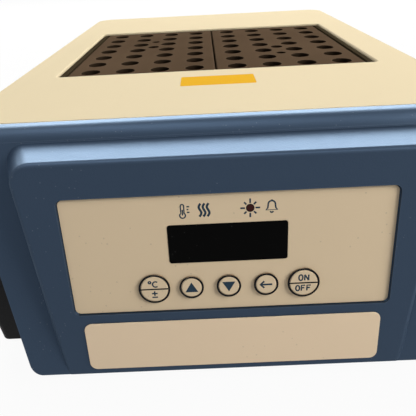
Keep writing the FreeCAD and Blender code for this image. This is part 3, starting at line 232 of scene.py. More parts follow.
def grain_group():
    """Fine moulded texture: a height and a slight change of tone."""
    group, start, end = new_group(
        "moulded_grain",
        [("Scale", "NodeSocketFloat", 900.0), ("Tone", "NodeSocketFloat", 0.06)],
        [("Height", "NodeSocketFloat"), ("Shade", "NodeSocketFloat")],
    )
    where = add(group, "ShaderNodeTexCoord")
    fine = add(group, "ShaderNodeTexNoise", {
        "Vector": where.outputs["Object"], "Scale": start.outputs["Scale"],
        "Detail": 2.0, "Roughness": 0.6})
    broad = add(group, "ShaderNodeTexNoise", {
        "Vector": where.outputs["Object"], "Scale": 14.0, "Detail": 3.0})
    centred = calc(group, "SUBTRACT", broad.outputs["Fac"], 0.5)
    shade = calc(group, "MULTIPLY_ADD", centred, start.outputs["Tone"], 1.0)
    group.links.new(fine.outputs["Fac"], end.inputs["Height"])
    group.links.new(shade, end.inputs["Shade"])
    return group


GRAIN = grain_group()
print("grain nodes:", len(GRAIN.nodes))

# %% [markdown]
# Dust lies on every bench instrument, in patches. Loose bits of mesh could be scattered for it,
# but they would be far too many. So small cells are kept only near their centres, and only where
# a broad noise is high, which leaves clean spots between the dusty ones.

# %% Build the dust specks


def speck_group():
    """Scattered dust specks: a mask that is 1 on a speck."""
    group, start, end = new_group(
        "dust_specks",
        [("Scale", "NodeSocketFloat", 160.0), ("Amount", "NodeSocketFloat", 0.1)],
        [("Mask", "NodeSocketFloat")],
    )
    where = add(group, "ShaderNodeTexCoord")
    cells = add(group, "ShaderNodeTexVoronoi", {
        "Vector": where.outputs["Object"], "Scale": start.outputs["Scale"], "Randomness": 1.0})
    near = calc(group, "LESS_THAN", cells.outputs["Distance"], start.outputs["Amount"])
    patch = add(group, "ShaderNodeTexNoise", {
        "Vector": where.outputs["Object"], "Scale": 30.0, "Detail": 1.0})
    some = calc(group, "GREATER_THAN", patch.outputs["Fac"], 0.5)
    group.links.new(calc(group, "MULTIPLY", near, some), end.inputs["Mask"])
    return group


SPECKS = speck_group()
print("speck nodes:", len(SPECKS.nodes))

# %% [markdown]
# Bare metal shows short scratches from its handling. They could be drawn one by one, but a noise
# that is stretched along one way does it at once: where it crosses its middle value it makes long
# thin lines. Two such noises cross each other, and patches keep only some of the lines.

# %% Build the fine scratches


def scratch_group():
    """Short fine scratches in two directions: a mask that is 1 on a scratch."""
    group, start, end = new_group(
        "fine_scratches",
        [("Scale", "NodeSocketFloat", 60.0), ("Amount", "NodeSocketFloat", 0.03)],
        [("Mask", "NodeSocketFloat")],
    )
    where = add(group, "ShaderNodeTexCoord")
    masks = []
    for turned, stretch in ((0.4, (1.0, 0.06, 1.0)), (-0.9, (1.0, 0.05, 1.0))):
        mapping = add(group, "ShaderNodeMapping", {
            "Vector": where.outputs["Object"], "Rotation": (0, 0, turned), "Scale": stretch})
        noise = add(group, "ShaderNodeTexNoise", {
            "Vector": mapping.outputs[0], "Scale": start.outputs["Scale"], "Detail": 1.0})
        size = calc(group, "ABSOLUTE", calc(group, "SUBTRACT", noise.outputs["Fac"], 0.5))
        masks.append(calc(group, "LESS_THAN", size, start.outputs["Amount"]))
    patch = add(group, "ShaderNodeTexNoise", {
        "Vector": where.outputs["Object"], "Scale": 45.0, "Detail": 0.0})
    some = calc(group, "GREATER_THAN", patch.outputs["Fac"], 0.6)
    kept = calc(group, "MULTIPLY", calc(group, "MAXIMUM", *masks), some)
    group.links.new(kept, end.inputs["Mask"])
    return group


SCRATCHES = scratch_group()
print("scratch nodes:", len(SCRATCHES.nodes))

# %% [markdown]
# Edges are rubbed pale, and recesses and creases get painted shade: their colour is made darker
# where little light gets in. Both could be painted by hand on each part. Here the surface itself
# tells: a bevelled normal that differs from the true one marks an edge, and a short look round from
# each spot says how open it is, and so how much shade is painted there.

# %% Build the worn edges and the painted crease shade


def worn_edge_group():
    """Where the surface turns within a short reach: a mask that is 1 on an edge."""
    group, start, end = new_group(
        "worn_edges",
        [("Reach", "NodeSocketFloat", 0.0005)],
        [("Mask", "NodeSocketFloat")],
    )
    rounded = add(group, "ShaderNodeBevel", {"Radius": start.outputs["Reach"]}, samples=4)
    geometry = add(group, "ShaderNodeNewGeometry")
    alike = add(group, "ShaderNodeVectorMath", {
        0: rounded.outputs["Normal"], 1: geometry.outputs["Normal"]}, operation="DOT_PRODUCT")
    ramp = add(group, "ShaderNodeMapRange", {
        "Value": alike.outputs["Value"], "From Min": 0.995, "From Max": 0.90})
    group.links.new(ramp.outputs[0], end.inputs["Mask"])
    return group


def crease_group():
    """How open a spot is, which sets the painted shade: 1 on a free face, lower in a crease or a
    recess.
    """
    group, start, end = new_group(
        "painted_crease_shade", [("Reach", "NodeSocketFloat", 0.012)], [("Shade", "NodeSocketFloat")])
    open_share = add(group, "ShaderNodeAmbientOcclusion", {
        "Distance": start.outputs["Reach"]}, samples=6)
    ramp = add(group, "ShaderNodeMapRange", {
        "Value": open_share.outputs["AO"], "From Min": 0.35, "From Max": 0.95})
    group.links.new(ramp.outputs[0], end.inputs["Shade"])
    return group


EDGES, PAINTED_CREASE_SHADE = worn_edge_group(), crease_group()
print("effects:", [g.name for g in bpy.data.node_groups])

# %% [markdown]
# Every surface of the instrument is some base colour with grain, wear and dust on it, and some
# get painted shade in their creases. Each could be a node tree of its own, but one recipe makes
# them all: the colour varied by the grain's shade, wear, dust and painted crease shade laid over
# it, a bump from the grain, and the plain gloss numbers set straight on the shader.

# %% Write the finish recipe
# The painted shade darkens a crease towards this share of the base colour.
PAINTED_SHADE_TONE, GRAIN_HEIGHT = 0.08, 0.0002


def use(tree, group, **values):
    """Place a node group in a material with its own values."""
    node = tree.nodes.new("ShaderNodeGroup")
    node.node_tree = group
    for key, value in values.items():
        node.inputs[key].default_value = value
    return node


def finish(name, colour, roughness, metallic=0.0, grain=900.0, tone=0.08, bump=0.0,
           dust=None, dust_scale=160.0, dust_colour=(0.8, 0.8, 0.8), scratch=None,
           edge=None, edge_colour=(0.6, 0.6, 0.6), crease=None, **plain):
    """A material. Dust, scratch, edge and crease are how strongly each one shows; crease is the
    painted shade in creases and recesses.
    """
    material = bpy.data.materials.new(name)
    material.use_nodes = True
    tree = material.node_tree
    shader = tree.nodes["Principled BSDF"]
    shader.inputs["Roughness"].default_value = roughness
    shader.inputs["Metallic"].default_value = metallic
    for key, value in plain.items():
        shader.inputs[key.replace("_", " ")].default_value = value
    mould = use(tree, GRAIN, Scale=grain, Tone=tone)
    shaded = add(tree, "ShaderNodeVectorMath", {0: colour, 1: mould.outputs["Shade"]},
                 operation="MULTIPLY")
    paint = shaded.outputs[0]

    def lay_over(mask, strength, over):
        """Mix a colour over the paint. A Mix node's colour sockets are 6 and 7, and 2 comes out."""
        share = calc(tree, "MULTIPLY", mask, strength)
        mix = add(tree, "ShaderNodeMix", {0: share, 6: paint, 7: (*over, 1)}, data_type="RGBA")
        return mix.outputs[2]

    if edge:
        paint = lay_over(use(tree, EDGES).outputs["Mask"], edge, edge_colour)
    if scratch:
        paint = lay_over(use(tree, SCRATCHES).outputs["Mask"], scratch, edge_colour)
    if dust:
        paint = lay_over(use(tree, SPECKS, Scale=dust_scale).outputs["Mask"], dust, dust_colour)
    # Painted shade: where the spot is closed in, the colour is darkened towards the crease tone.
    if crease:
        closed = calc(tree, "SUBTRACT", 1.0, use(tree, PAINTED_CREASE_SHADE).outputs["Shade"])
        paint = lay_over(closed, crease, [PAINTED_SHADE_TONE * part for part in colour])
    tree.links.new(paint, shader.inputs["Base Color"])
    if bump:
        raised = add(tree, "ShaderNodeBump", {
            "Strength": bump, "Distance": GRAIN_HEIGHT, "Height": mould.outputs["Height"]})
        tree.links.new(raised.outputs[0], shader.inputs["Normal"])
    return material


print("recipe ready, materials so far:", len(bpy.data.materials))

# %% [markdown]
# The outer finishes are what the eye meets: a slightly pearly blue moulding, cream paint, beige
# printed plastic and dark anodised blocks. The pearl could be a coat over the blue, but a little
# metal in the paint with a blue gloss tint gives the same soft sheen with fewer settings. The
# deck has no gloss of its own, because the lamps behind would turn it white.

# %% Mix the outer finishes
# The blue moulding gets a light painted shade in its creases, such as along the console's sides.
BLUE = finish("blue_moulding", (0.037, 0.058, 0.094), 0.44, metallic=0.38, grain=1500.0,
              tone=0.10, bump=0.25, dust=0.10, dust_scale=430.0, dust_colour=(0.45, 0.48, 0.50),
              edge=0.2, edge_colour=(0.16, 0.21, 0.29), crease=0.25, Specular_IOR_Level=0.14,
              Specular_Tint=(0.55, 0.77, 1.0, 1.0))
CREAM = finish("cream_paint", (0.70, 0.60, 0.41), 0.6, grain=700.0, tone=0.05, bump=0.05,
               dust=0.2, dust_scale=380.0, dust_colour=(0.45, 0.40, 0.32),
               Specular_IOR_Level=0.0)
BEIGE = finish("beige_print", (0.76, 0.61, 0.42), 0.45, grain=1200.0, tone=0.05, bump=0.06,
               dust=0.3, dust_scale=330.0, dust_colour=(0.35, 0.28, 0.20),
               Specular_IOR_Level=0.1)
LABEL = finish("beige_label", (0.88, 0.70, 0.50), 0.5, grain=900.0, tone=0.05, bump=0.04,
               dust=0.2, dust_scale=300.0, dust_colour=(0.40, 0.32, 0.22),
               Specular_IOR_Level=0.1)
BLACK = finish("black_moulding", (0.013, 0.013, 0.014), 0.5, grain=1400.0, tone=0.2, bump=0.3,
               dust=0.2, dust_scale=400.0, dust_colour=(0.2, 0.2, 0.2), Specular_IOR_Level=0.06)
LINER = finish("liner_moulding", (0.045, 0.034, 0.020), 0.6, grain=1100.0, tone=0.2, bump=0.2,
               Specular_IOR_Level=0.0)
# The blocks get a strong painted shade, which darkens the inside of their wells.
BLOCK = finish("anodised_block", (0.092, 0.061, 0.038), 0.5, grain=1300.0, tone=0.45, bump=0.10,
               edge=0.35, edge_colour=(0.30, 0.22, 0.15), crease=1.0, Specular_IOR_Level=0.0)
WINDOW = finish("smoke_window", (0.001, 0.001, 0.001), 0.07, tone=0.05, dust=0.1,
                dust_scale=420.0, dust_colour=(0.15, 0.15, 0.15), Specular_IOR_Level=0.03)
RUBBER = finish("foot_rubber", (0.016, 0.016, 0.016), 0.85, tone=0.3, bump=0.5, dust=0.3,
                dust_colour=(0.2, 0.2, 0.2))
print("finishes so far:", len(bpy.data.materials))

# %% [markdown]
# The inside has the plain finishes of such instruments: bare and plated metal, silicone, glass
# felt, board green and clear glass. One grey could do for all of it, since it shows only when a
# block is lifted, but every part has its own here, so that an opened model reads as it should.

# %% Mix the inner finishes
BARE = finish("bare_aluminium", (0.62, 0.62, 0.63), 0.35, metallic=1.0, grain=600.0, tone=0.1,
              bump=0.1, scratch=0.3, edge_colour=(0.8, 0.8, 0.8))
STEEL = finish("zinc_steel", (0.55, 0.55, 0.54), 0.35, metallic=1.0, grain=500.0, tone=0.2,
               bump=0.08)
NICKEL = finish("nickel_plate", (0.70, 0.67, 0.60), 0.22, metallic=1.0, tone=0.05)
SILICONE = finish("silicone_mat", (0.55, 0.13, 0.06), 0.6, grain=1600.0, bump=0.3)
FELT = finish("glass_felt", (0.74, 0.70, 0.60), 0.95, grain=380.0, tone=0.15, bump=1.0)
BOARD = finish("board_green", (0.02, 0.12, 0.05), 0.45, grain=300.0, tone=0.25, bump=0.1)
LAMP = finish("lamp_red", (0.040, 0.008, 0.006), 0.25, tone=0.05, Specular_IOR_Level=0.1)
POTTED = finish("potted_block", (0.03, 0.03, 0.035), 0.4, grain=700.0, tone=0.2, bump=0.1)
GLASS = finish("fuse_glass", (0.85, 0.88, 0.88), 0.1, tone=0.03, Transmission_Weight=0.8)
print("finishes so far:", len(bpy.data.materials))

# %% [markdown]
# Prints are inks and one film. They could be plain black and white, but the signs are slate blue
# on the real panel and only the rings round the keys are black, so each ink has its own mix.

# %% Mix the inks
INK = finish("slate_ink", (0.022, 0.045, 0.072), 0.5, grain=1500.0, tone=0.1,
             Specular_IOR_Level=0.1)
RING_INK = finish("black_ink", (0.006, 0.006, 0.007), 0.45, grain=1500.0, tone=0.1,
                  Specular_IOR_Level=0.1)
CHALK = finish("white_print", (0.62, 0.62, 0.60), 0.5, grain=1500.0, tone=0.05,
               Specular_IOR_Level=0.1)
AMBER = finish("amber_film", (0.72, 0.40, 0.030), 0.5, tone=0.06, bump=0.04,
               Specular_IOR_Level=0.0)
print("all finishes:", len(bpy.data.materials))

# %% [markdown]
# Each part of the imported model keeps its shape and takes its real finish. A rule by body or by
# size could choose it, but a plain list is easier to read and to change: one name, one finish.

# %% Paint the carried-over parts
PAINT = {
    "housing": BLUE, "base_tray": BLACK, "top_panel": CREAM, "well_liner": LINER,
    "heating_block_right": BLOCK, "heating_block_left": BLOCK, "block_sole_right": BLOCK,
    "block_sole_left": BLOCK, "heater_plate": BARE, "heater_mat": SILICONE,
    "insulation_pad": FELT, "heater_pan": STEEL, "plate_brackets": STEEL,
    "thermal_cutout": STEEL, "temperature_probe": STEEL, "control_panel": BEIGE,
    "display_window": WINDOW, "display_module": BLACK, "key_switches": BLACK,
    "indicator_lamps": LAMP, "control_board": BOARD, "lower_label": LABEL,
    "power_board": BOARD, "transformer": POTTED, "power_relay": BLACK, "triac_heat_sink": BARE,
    "power_inlet": BLACK, "inlet_pins": NICKEL, "inlet_screws": STEEL, "fuse_drawer": BLACK,
    "fuse": GLASS, "power_switch": BLACK, "power_rocker": BLACK, "rubber_feet": RUBBER,
    "case_screws": STEEL, "set_key": BEIGE, "up_key": BEIGE, "down_key": BEIGE,
    "shift_key": BEIGE, "start_key": BEIGE,
}
for name, material in PAINT.items():
    mesh = nodes[name].data
    mesh.materials.clear()
    mesh.materials.append(material)
print("painted:", len(PAINT), "left:", sorted(set(nodes) - set(PAINT)))

# %% [markdown]
# The console face leans back, so a print's place in the shared frame is hard to read. Everything
# on the face is placed in its own flat measure instead: so far across, so far down the slope, and
# so far out from it, in millimetres, as on a print drawing.

# %% Measure along the console face
MM = 0.001
LEAN = math.radians(13.8)
NOSE_Y, NOSE_Z = -135.4, 88.2
NOSE = Vector((0, NOSE_Y * MM, NOSE_Z * MM))
DOWN = Vector((0, -math.sin(LEAN), -math.cos(LEAN)))
OUT = Vector((0, -math.cos(LEAN), math.sin(LEAN)))
PANEL_SURFACE, KEY_SURFACE = -1.0, -0.1
KEY_LINE = 47.1
KEY_PLACES = {"set_key": -27.1, "up_key": -13.85, "down_key": -0.6, "shift_key": 12.65,
              "start_key": 25.9}
KEY_RADIUS = {"set_key": 5.2, "up_key": 3.9, "down_key": 3.9, "shift_key": 3.9, "start_key": 5.2}


def on_face(across, down, out=0.0):
    """A point of the console face, from millimetres to the shared frame."""
    return NOSE + Vector((across * MM, 0, 0)) + DOWN * (down * MM) + OUT * (out * MM)


def face_place(place):
    """Back from the shared frame: across, down and out on the console face, in millimetres."""
    away = place - NOSE
    return place.x / MM, away.dot(DOWN) / MM, away.dot(OUT) / MM


print("middle of the keys:", [round(v, 4) for v in on_face(0, KEY_LINE, KEY_SURFACE)])

# %% [markdown]
# A moulding is drawn out of a steel tool, so none of its edges is sharp, and they aren't alike:
# the rim of the apron is the roundest, the top edge and the crease beside the console are a
# little less so, and the openings only lose their burr. One width for all would be quicker, but
# it would blur the openings. So a function says how wide an edge is rounded, from where its
# middle lies. Inner edges, which nobody sees, stay sharp.

# %% Say how wide each edge is rounded
LEDGE_Y, APRON_BACK_Y, REAR_Y = -117, -110, 153.5
TOP_Z, SPLIT_Z, SIDE_X, CHEEK_X = 91, 45, 100, 95
APRON_SLOPE = 38.0 / 83.0
CLOSE, NEAR, LOOSE = 0.2, 0.3, 0.5
FLAT_ANGLE = 0.2
ROUND = {"crease": 1.2, "apron_rim": 1.8, "apron_edge": 1.2, "console_face": 0.5,
         "top_edge": 1.5, "top_opening": 0.3, "low_edge": 0.5}


def off_apron(y, z):
    """How far level from the sloping apron a point lies, in millimetres."""
    return abs(y - LEDGE_Y + (TOP_Z - z) * APRON_SLOPE)


def off_console(y, z):
    """How far from the plane of the console face a point lies, in millimetres."""
    return abs((z - NOSE_Z) * math.sin(LEAN) - (y - NOSE_Y) * math.cos(LEAN))


def edge_width(middle, angle):
    """How wide an edge of the moulding is rounded, in millimetres."""
    x, y, z = middle / MM
    at_rear = y > REAR_Y - LOOSE
    if abs(angle) < FLAT_ANGLE:
        return 0.0
    if off_apron(y, z) < NEAR and y < APRON_BACK_Y:
        if angle < 0:
            return ROUND["crease"]
        return ROUND["apron_rim" if z > TOP_Z - LOOSE or abs(x) > CHEEK_X else "apron_edge"]
    if off_console(y, z) < NEAR:
        return ROUND["console_face"]
    if z > TOP_Z - CLOSE:
        outer = abs(x) > SIDE_X - CLOSE or at_rear or y < LEDGE_Y + LOOSE
        return ROUND["top_edge" if outer else "top_opening"]
    at_split = abs(z - SPLIT_Z) < NEAR and (abs(x) > SIDE_X - LOOSE or at_rear)
    return ROUND["low_edge"] if y > REAR_Y - NEAR or at_split else 0.0


print("the ledge is rounded by", edge_width(Vector((0, LEDGE_Y, TOP_Z)) * MM, 1.0), "mm")

# %% [markdown]
# The console's upper corners are a little tighter on the real moulding than in the model, and its
# sides spread towards the apron, because a tool needs that draft to slide off. Another round of
# modelling could change both. Moving the skin's points is enough, and it keeps every face and hole
# as it is. Each function takes a point and gives it back, moved or not.

# %% Tighten the console's corners and spread its sides
CONSOLE_TOP_HALF, CONSOLE_TAPER, CONSOLE_LENGTH = 72, 8.2, 82.6
SIDE_LEAN = math.atan(CONSOLE_TAPER / CONSOLE_LENGTH)
CORNER_OLD, CORNER_NEW, CORNER_REACHES = 9, 7.5, (4, 9.2)
CONSOLE_DRAFT, DRAFT_ACROSS, DRAFT_UP = 0.42, (55, 73.5), (7, 88.3)
SLIP = 0.05


def corner_centre(radius):
    """How far across the middle of a console corner's arc lies."""
    return CONSOLE_TOP_HALF - radius * math.tan(SIDE_LEAN) - radius / math.cos(SIDE_LEAN)


def tighten_corner(place):
    """Draw the console's upper corners to a smaller arc, skin and wall alike."""
    x, y, z = place / MM
    down = (NOSE_Z - z) / math.cos(LEAN)
    from_x, from_down = abs(x) - corner_centre(CORNER_OLD), down - CORNER_OLD
    reach = math.hypot(from_x, from_down)
    on_arc = CORNER_REACHES[0] < reach < CORNER_REACHES[1]
    if y > LEDGE_Y - LOOSE or from_x < -SLIP or from_down > SLIP or not on_arc:
        return place
    share = (reach - CORNER_OLD + CORNER_NEW) / reach
    new_x = math.copysign(corner_centre(CORNER_NEW) + from_x * share, x)
    new_z = NOSE_Z - (CORNER_NEW + from_down * share) * math.cos(LEAN)
    slope = APRON_SLOPE if off_apron(y, z) < NEAR else math.tan(LEAN)
    return Vector((new_x, y + (new_z - z) * slope, new_z)) * MM


def flare_console(place):
    """Spread the console's sides towards the apron, as the draft of its mould does."""
    x, y, z = place / MM
    across = DRAFT_ACROSS[0] < abs(x) < DRAFT_ACROSS[1]
    if off_apron(y, z) >= NEAR or not across or not DRAFT_UP[0] < z < DRAFT_UP[1]:
        return place
    depth = y - NOSE_Y + (NOSE_Z - z) * math.tan(LEAN)
    return place + Vector((math.copysign(CONSOLE_DRAFT * depth, x) * MM, 0, 0))


print("corner arc moves out by", round(corner_centre(CORNER_NEW) - corner_centre(CORNER_OLD), 2))

# %% [markdown]
# The panel, its window and the label lie in sunk places of the face, whose corners are tighter
# too. Plate and recess could be shaped apart, but then they might not fit. So both go through
# the same function. The key slot gets a little air over the keys' flanges, as a pressed key
# must not rub on the moulding.

# %% Tighten the sunk corners and ease the key slot
ARC_WIDTH, SUNK_DEPTH = 0.4, 3
SUNK_PLACES = {
    "panel": ((-56.7, 56.7, 12.8, 56.4), 3.5, 2.0),
    "window": ((-21, 20.2, 23.4, 37.7), 2.0, 1.0),
    "label": ((-54.2, 54.2, 60.2, 80.2), 4.0, 2.8),
}
KEY_SLOT_TOP, SLOT_NEAR, SLOT_BACK, SLOT_FRONT, FLANGE_AIR = 41.0, 0.02, -8, -1, 0.3


def tighten_sunk(place, box, old, new):
    """Draw the rounded corners of a rectangle on the console face to a smaller radius."""
    across, down, out = face_place(place)
    left, right, top, low = box
    side = 1 if across > (left + right) / 2 else -1
    end = 1 if down > (top + low) / 2 else -1
    edge_x, edge_down = (right if side > 0 else left), (low if end > 0 else top)
    from_x, from_down = across - edge_x + side * old, down - edge_down + end * old
    reach = math.hypot(from_x, from_down)
    on_arc = side * from_x > -SLIP and end * from_down > -SLIP and abs(reach - old) < ARC_WIDTH
    if abs(out) > SUNK_DEPTH or not on_arc:
        return place
    share = (reach - old + new) / reach
    return on_face(edge_x - side * new + from_x * share,
                   edge_down - end * new + from_down * share, out)


def ease_slot(place):
    """Give the key flanges a little air over them in the moulding's key slot."""
    down, out = face_place(place)[1:]
    if abs(down - KEY_SLOT_TOP) < SLOT_NEAR and SLOT_BACK < out < SLOT_FRONT:
        return place - DOWN * (FLANGE_AIR * MM)
    return place


print("sunk places:", sorted(SUNK_PLACES))

# %% [markdown]
# New pieces are built as loose forms first. Each cell could turn its own form into an object, but
# those lines are always the same, so two small helpers do it.

# %% Write the helpers for new pieces
SHARP_ANGLE = math.radians(40)


def mesh_of(name, form):
    """The mesh of a finished form."""
    mesh = bpy.data.meshes.new(name)
    form.to_mesh(mesh)
    form.free()
    return mesh


def new_piece(name, mesh, material):
    """Show a mesh as an object with one finish."""
    mesh.materials.clear()
    mesh.materials.append(material)
    piece = bpy.data.objects.new(name, mesh)
    bpy.context.scene.collection.objects.link(piece)
    return piece


print("sharp above", round(math.degrees(SHARP_ANGLE)), "degrees")

# %% [markdown]
# The large moulding is the piece that shows most. Its edges could be rounded in the model, but
# round edges there need many small faces and long runs. Here the skin is copied, its doubled
# points are welded, its corners are moved, and each edge gets its width as a weight. One bevel
# then follows those weights.

# %% Soften the large moulding
WELD, FLAT_FACE = 1e-6, 0.02
WIDEST, MOULD_SEGMENTS = 3.0, 4


def clean_skin(node):
    """A part's skin with its doubled points welded and its corners tightened."""
    skin = bmesh.new()
    skin.from_mesh(nodes[node].data)
    bmesh.ops.remove_doubles(skin, verts=skin.verts, dist=WELD)
    bmesh.ops.dissolve_limit(skin, angle_limit=FLAT_FACE, verts=skin.verts, edges=skin.edges)
    for vertex in skin.verts:
        place = tighten_corner(vertex.co)
        for box, old, new in SUNK_PLACES.values():
            place = tighten_sunk(place, box, old, new)
        vertex.co = ease_slot(flare_console(place))
    return skin


skin = clean_skin("housing")
weight = skin.edges.layers.float.new("bevel_weight_edge")
for edge in skin.edges:
    if len(edge.link_faces) == 2:
        middle = (edge.verts[0].co + edge.verts[1].co) / 2
        edge[weight] = edge_width(middle, edge.calc_face_angle_signed(0)) / WIDEST
    edge.smooth = True
for face in skin.faces:
    face.smooth = True
moulding = new_piece("moulding", mesh_of("moulding", skin), BLUE)
moulding.data.set_sharp_from_angle(angle=SHARP_ANGLE)
step = moulding.modifiers.new("soft_edges", "BEVEL")
step.limit_method = "WEIGHT"
step.width = WIDEST * MM
step.segments = MOULD_SEGMENTS
step.miter_outer = "MITER_ARC"
even = moulding.modifiers.new("even_shade", "WEIGHTED_NORMAL")
even.keep_sharp = True
even.weight = 100
even.thresh = 0.0
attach(moulding, "case")
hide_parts("housing")
print("moulding faces:", len(moulding.data.polygons))

# %% [markdown]
# Along the front the moulding rises to the deck and turns over in one soft round edge, which
# catches the most light of all. A wide bevel would be quick, but it can't rise above the skin. So
# the edge gets its own profile: flat at the deck, and then a curve that runs out on the apron.
# It's a little lower and shorter at its two ends, so that they look rounded too.

# %% Turn the front edge over
RIM_TOP, RIM_REAR, RIM_TURN, RIM_LOW = 92.95, -110.55, -112.8, 88.6
RIM_BED, RIM_SINK, RIM_TOE, RIM_HEEL, RIM_STEPS = 90.5, 0.04, 1.0, 3.5, 10
RIM_BEND = LEDGE_Y + (RIM_TOP - TOP_Z) * APRON_SLOPE
RIM_FOOT = LEDGE_Y - (TOP_Z - RIM_LOW) * APRON_SLOPE
RIM_STATIONS = [(-99.6, 0.6), (-99.2, 0.9), (-98.6, 1.0), (98.6, 1.0), (99.2, 0.9), (99.6, 0.6)]
END_SHORTENING = 0.1


def between(t, first, bend, last):
    """A point of a parabola that leaves the first value towards the bend and ends at the last."""
    return (1 - t) ** 2 * first + 2 * t * (1 - t) * bend + t * t * last


profile = [(RIM_REAR, RIM_BED), (RIM_REAR, RIM_TOP)]
for i in range(RIM_STEPS + 1):
    t = i / RIM_STEPS
    profile.append((between(t, RIM_TURN, RIM_BEND, RIM_FOOT - RIM_SINK),
                    between(t, RIM_TOP, RIM_TOP, RIM_LOW)))
profile += [(RIM_FOOT + RIM_TOE, RIM_LOW), (RIM_FOOT + RIM_HEEL, RIM_BED)]
bar = bmesh.new()
loops = []
for x, share in RIM_STATIONS:
    length = 1 - END_SHORTENING + END_SHORTENING * share
    loops.append([bar.verts.new((x * MM, (RIM_REAR + (y - RIM_REAR) * length) * MM,
                                 (RIM_BED + (z - RIM_BED) * (share if z > RIM_BED else 1)) * MM))
                  for y, z in profile])
for first, second in zip(loops, loops[1:]):
    for i in range(len(profile)):
        j = (i + 1) % len(profile)
        bar.faces.new((first[i], first[j], second[j], second[i]))
bar.faces.new(loops[0])
bar.faces.new(list(reversed(loops[-1])))
bmesh.ops.recalc_face_normals(bar, faces=bar.faces)
for face in bar.faces:
    face.smooth = True
rim = new_piece("front_rim", mesh_of("front_rim", bar), BLUE)
rim.data.set_sharp_from_angle(angle=SHARP_ANGLE)
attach(rim, "case")
print("rim profile points:", len(profile))

# %% [markdown]
# The smaller parts are machined, stamped or moulded with a narrow broken edge, which shows as a
# bright line. Each could get a new mesh, but they can keep their own: one modifier welds the
# skin, one clears the flat faces, and a narrow bevel makes the edge.

# %% Round the edges of the carried-over parts
PLAIN_ANGLE, BEVEL_ANGLE, EDGE_SEGMENTS = math.radians(1), math.radians(35), 2


def soften(part, width):
    """Round a part's sharp edges, in millimetres, with modifiers only."""
    part.modifiers.new("one_skin", "WELD").merge_threshold = WELD
    plain = part.modifiers.new("plain_faces", "DECIMATE")
    plain.decimate_type = "DISSOLVE"
    plain.angle_limit = PLAIN_ANGLE
    edge = part.modifiers.new("soft_edges", "BEVEL")
    edge.limit_method = "ANGLE"
    edge.angle_limit = BEVEL_ANGLE
    edge.width = width * MM
    edge.segments = EDGE_SEGMENTS
    even = part.modifiers.new("even_shade", "WEIGHTED_NORMAL")
    even.keep_sharp = True
    even.weight = 100


EDGE_WIDTHS = {
    "top_panel": 0.2, "well_liner": 0.35, "heating_block_right": 0.35, "heating_block_left": 0.35,
    "base_tray": 0.8, "power_inlet": 0.5, "power_switch": 0.5, "fuse_drawer": 0.4,
    "power_rocker": 0.5, "rubber_feet": 0.6, "set_key": 0.15, "up_key": 0.15, "down_key": 0.15,
    "shift_key": 0.15, "start_key": 0.15, "heater_plate": 0.3, "heater_pan": 0.2,
    "triac_heat_sink": 0.2, "power_relay": 0.4, "transformer": 0.4,
}
for node, width in EDGE_WIDTHS.items():
    soften(nodes[node], width)
print("softened:", len(EDGE_WIDTHS))

# %% [markdown]
# The control panel, its dark window and the label below are thin plates that fill their sunk
# places. They could keep the model's corners, but the recesses are tighter now and gaps would
# show. So the plates are copied through the same corner functions as the moulding.

# %% Fit the plates on the console
PLATES = {"printed_panel": ("control_panel", 0.35), "dark_window": ("display_window", 0.2),
          "bare_label": ("lower_label", 0.15)}
for name, (node, width) in PLATES.items():
    piece = new_piece(name, mesh_of(name, clean_skin(node)), PAINT[node])
    soften(piece, width)
    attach(piece, "case")
    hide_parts(node)
print("plates:", list(PLATES))

# %% [markdown]
# The prints are thin ink on the panel and on the keys. A picture could carry them, but drawn
# shapes stay crisp from any distance. Their lines are pen strokes: round lines along a few
# points, flattened to a film.

# %% Make the pen for the prints
PEN_FLAT = 0.12


def arc(across, up, radius, start=0, sweep=360, steps=24, tall=1.0):
    """Points along a circle or an oval, angles in degrees."""
    angles = [math.radians(start + sweep * i / steps) for i in range(steps + (sweep < 360))]
    return [(across + radius * math.cos(a), up + radius * tall * math.sin(a)) for a in angles]


def place_print(mesh, name, across, down, out, material, body):
    """Lay a flat drawing on the console face."""
    for vertex in mesh.vertices:
        u, v, w = vertex.co / MM
        vertex.co = on_face(across + u, down - v, out + w)
    piece = new_piece(name, mesh, material)
    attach(piece, body)


def strokes(name, lines, width, flat=PEN_FLAT):
    """The mesh of pen lines of one width. A line is its points and whether it closes."""
    curve = bpy.data.curves.new(name, "CURVE")
    curve.dimensions = "3D"
    curve.bevel_depth = width / 2 * MM
    curve.bevel_resolution = 1
    curve.use_fill_caps = True
    for points, closed in lines:
        spline = curve.splines.new("POLY")
        spline.points.add(len(points) - 1)
        for point, (u, v) in zip(spline.points, points):
            point.co = (u * MM, v * MM, 0, 1)
        spline.use_cyclic_u = closed
    drawn = bpy.data.objects.new(name, curve)
    mesh = bpy.data.meshes.new_from_object(drawn)
    bpy.data.objects.remove(drawn)
    for vertex in mesh.vertices:
        vertex.co.z *= flat
    return mesh


def pen(name, lines, width, across, down, out, material, body, flat=PEN_FLAT):
    """Pen lines laid on the console face."""
    place_print(strokes(name, lines, width, flat), name, across, down, out, material, body)


print("a pen line of 12 points:", len(arc(0, 0, 1, steps=12)))

# %% [markdown]
# Filled signs, such as an arrow's head or the lamp's spot, can't be drawn as one stroke. They
# could be hatched with many, but an outline that is filled and raised a hair is simpler.

# %% Make the film for filled signs
FILM = 0.03


def thin_sheet(name, outline, thick):
    """A filled outline, raised to a thin sheet with its own edge."""
    sheet = bmesh.new()
    base = sheet.faces.new([sheet.verts.new(corner) for corner in outline])
    for item in bmesh.ops.extrude_face_region(sheet, geom=[base])["geom"]:
        if isinstance(item, bmesh.types.BMVert):
            item.co.z += thick * MM
    bmesh.ops.recalc_face_normals(sheet, faces=sheet.faces)
    return mesh_of(name, sheet)


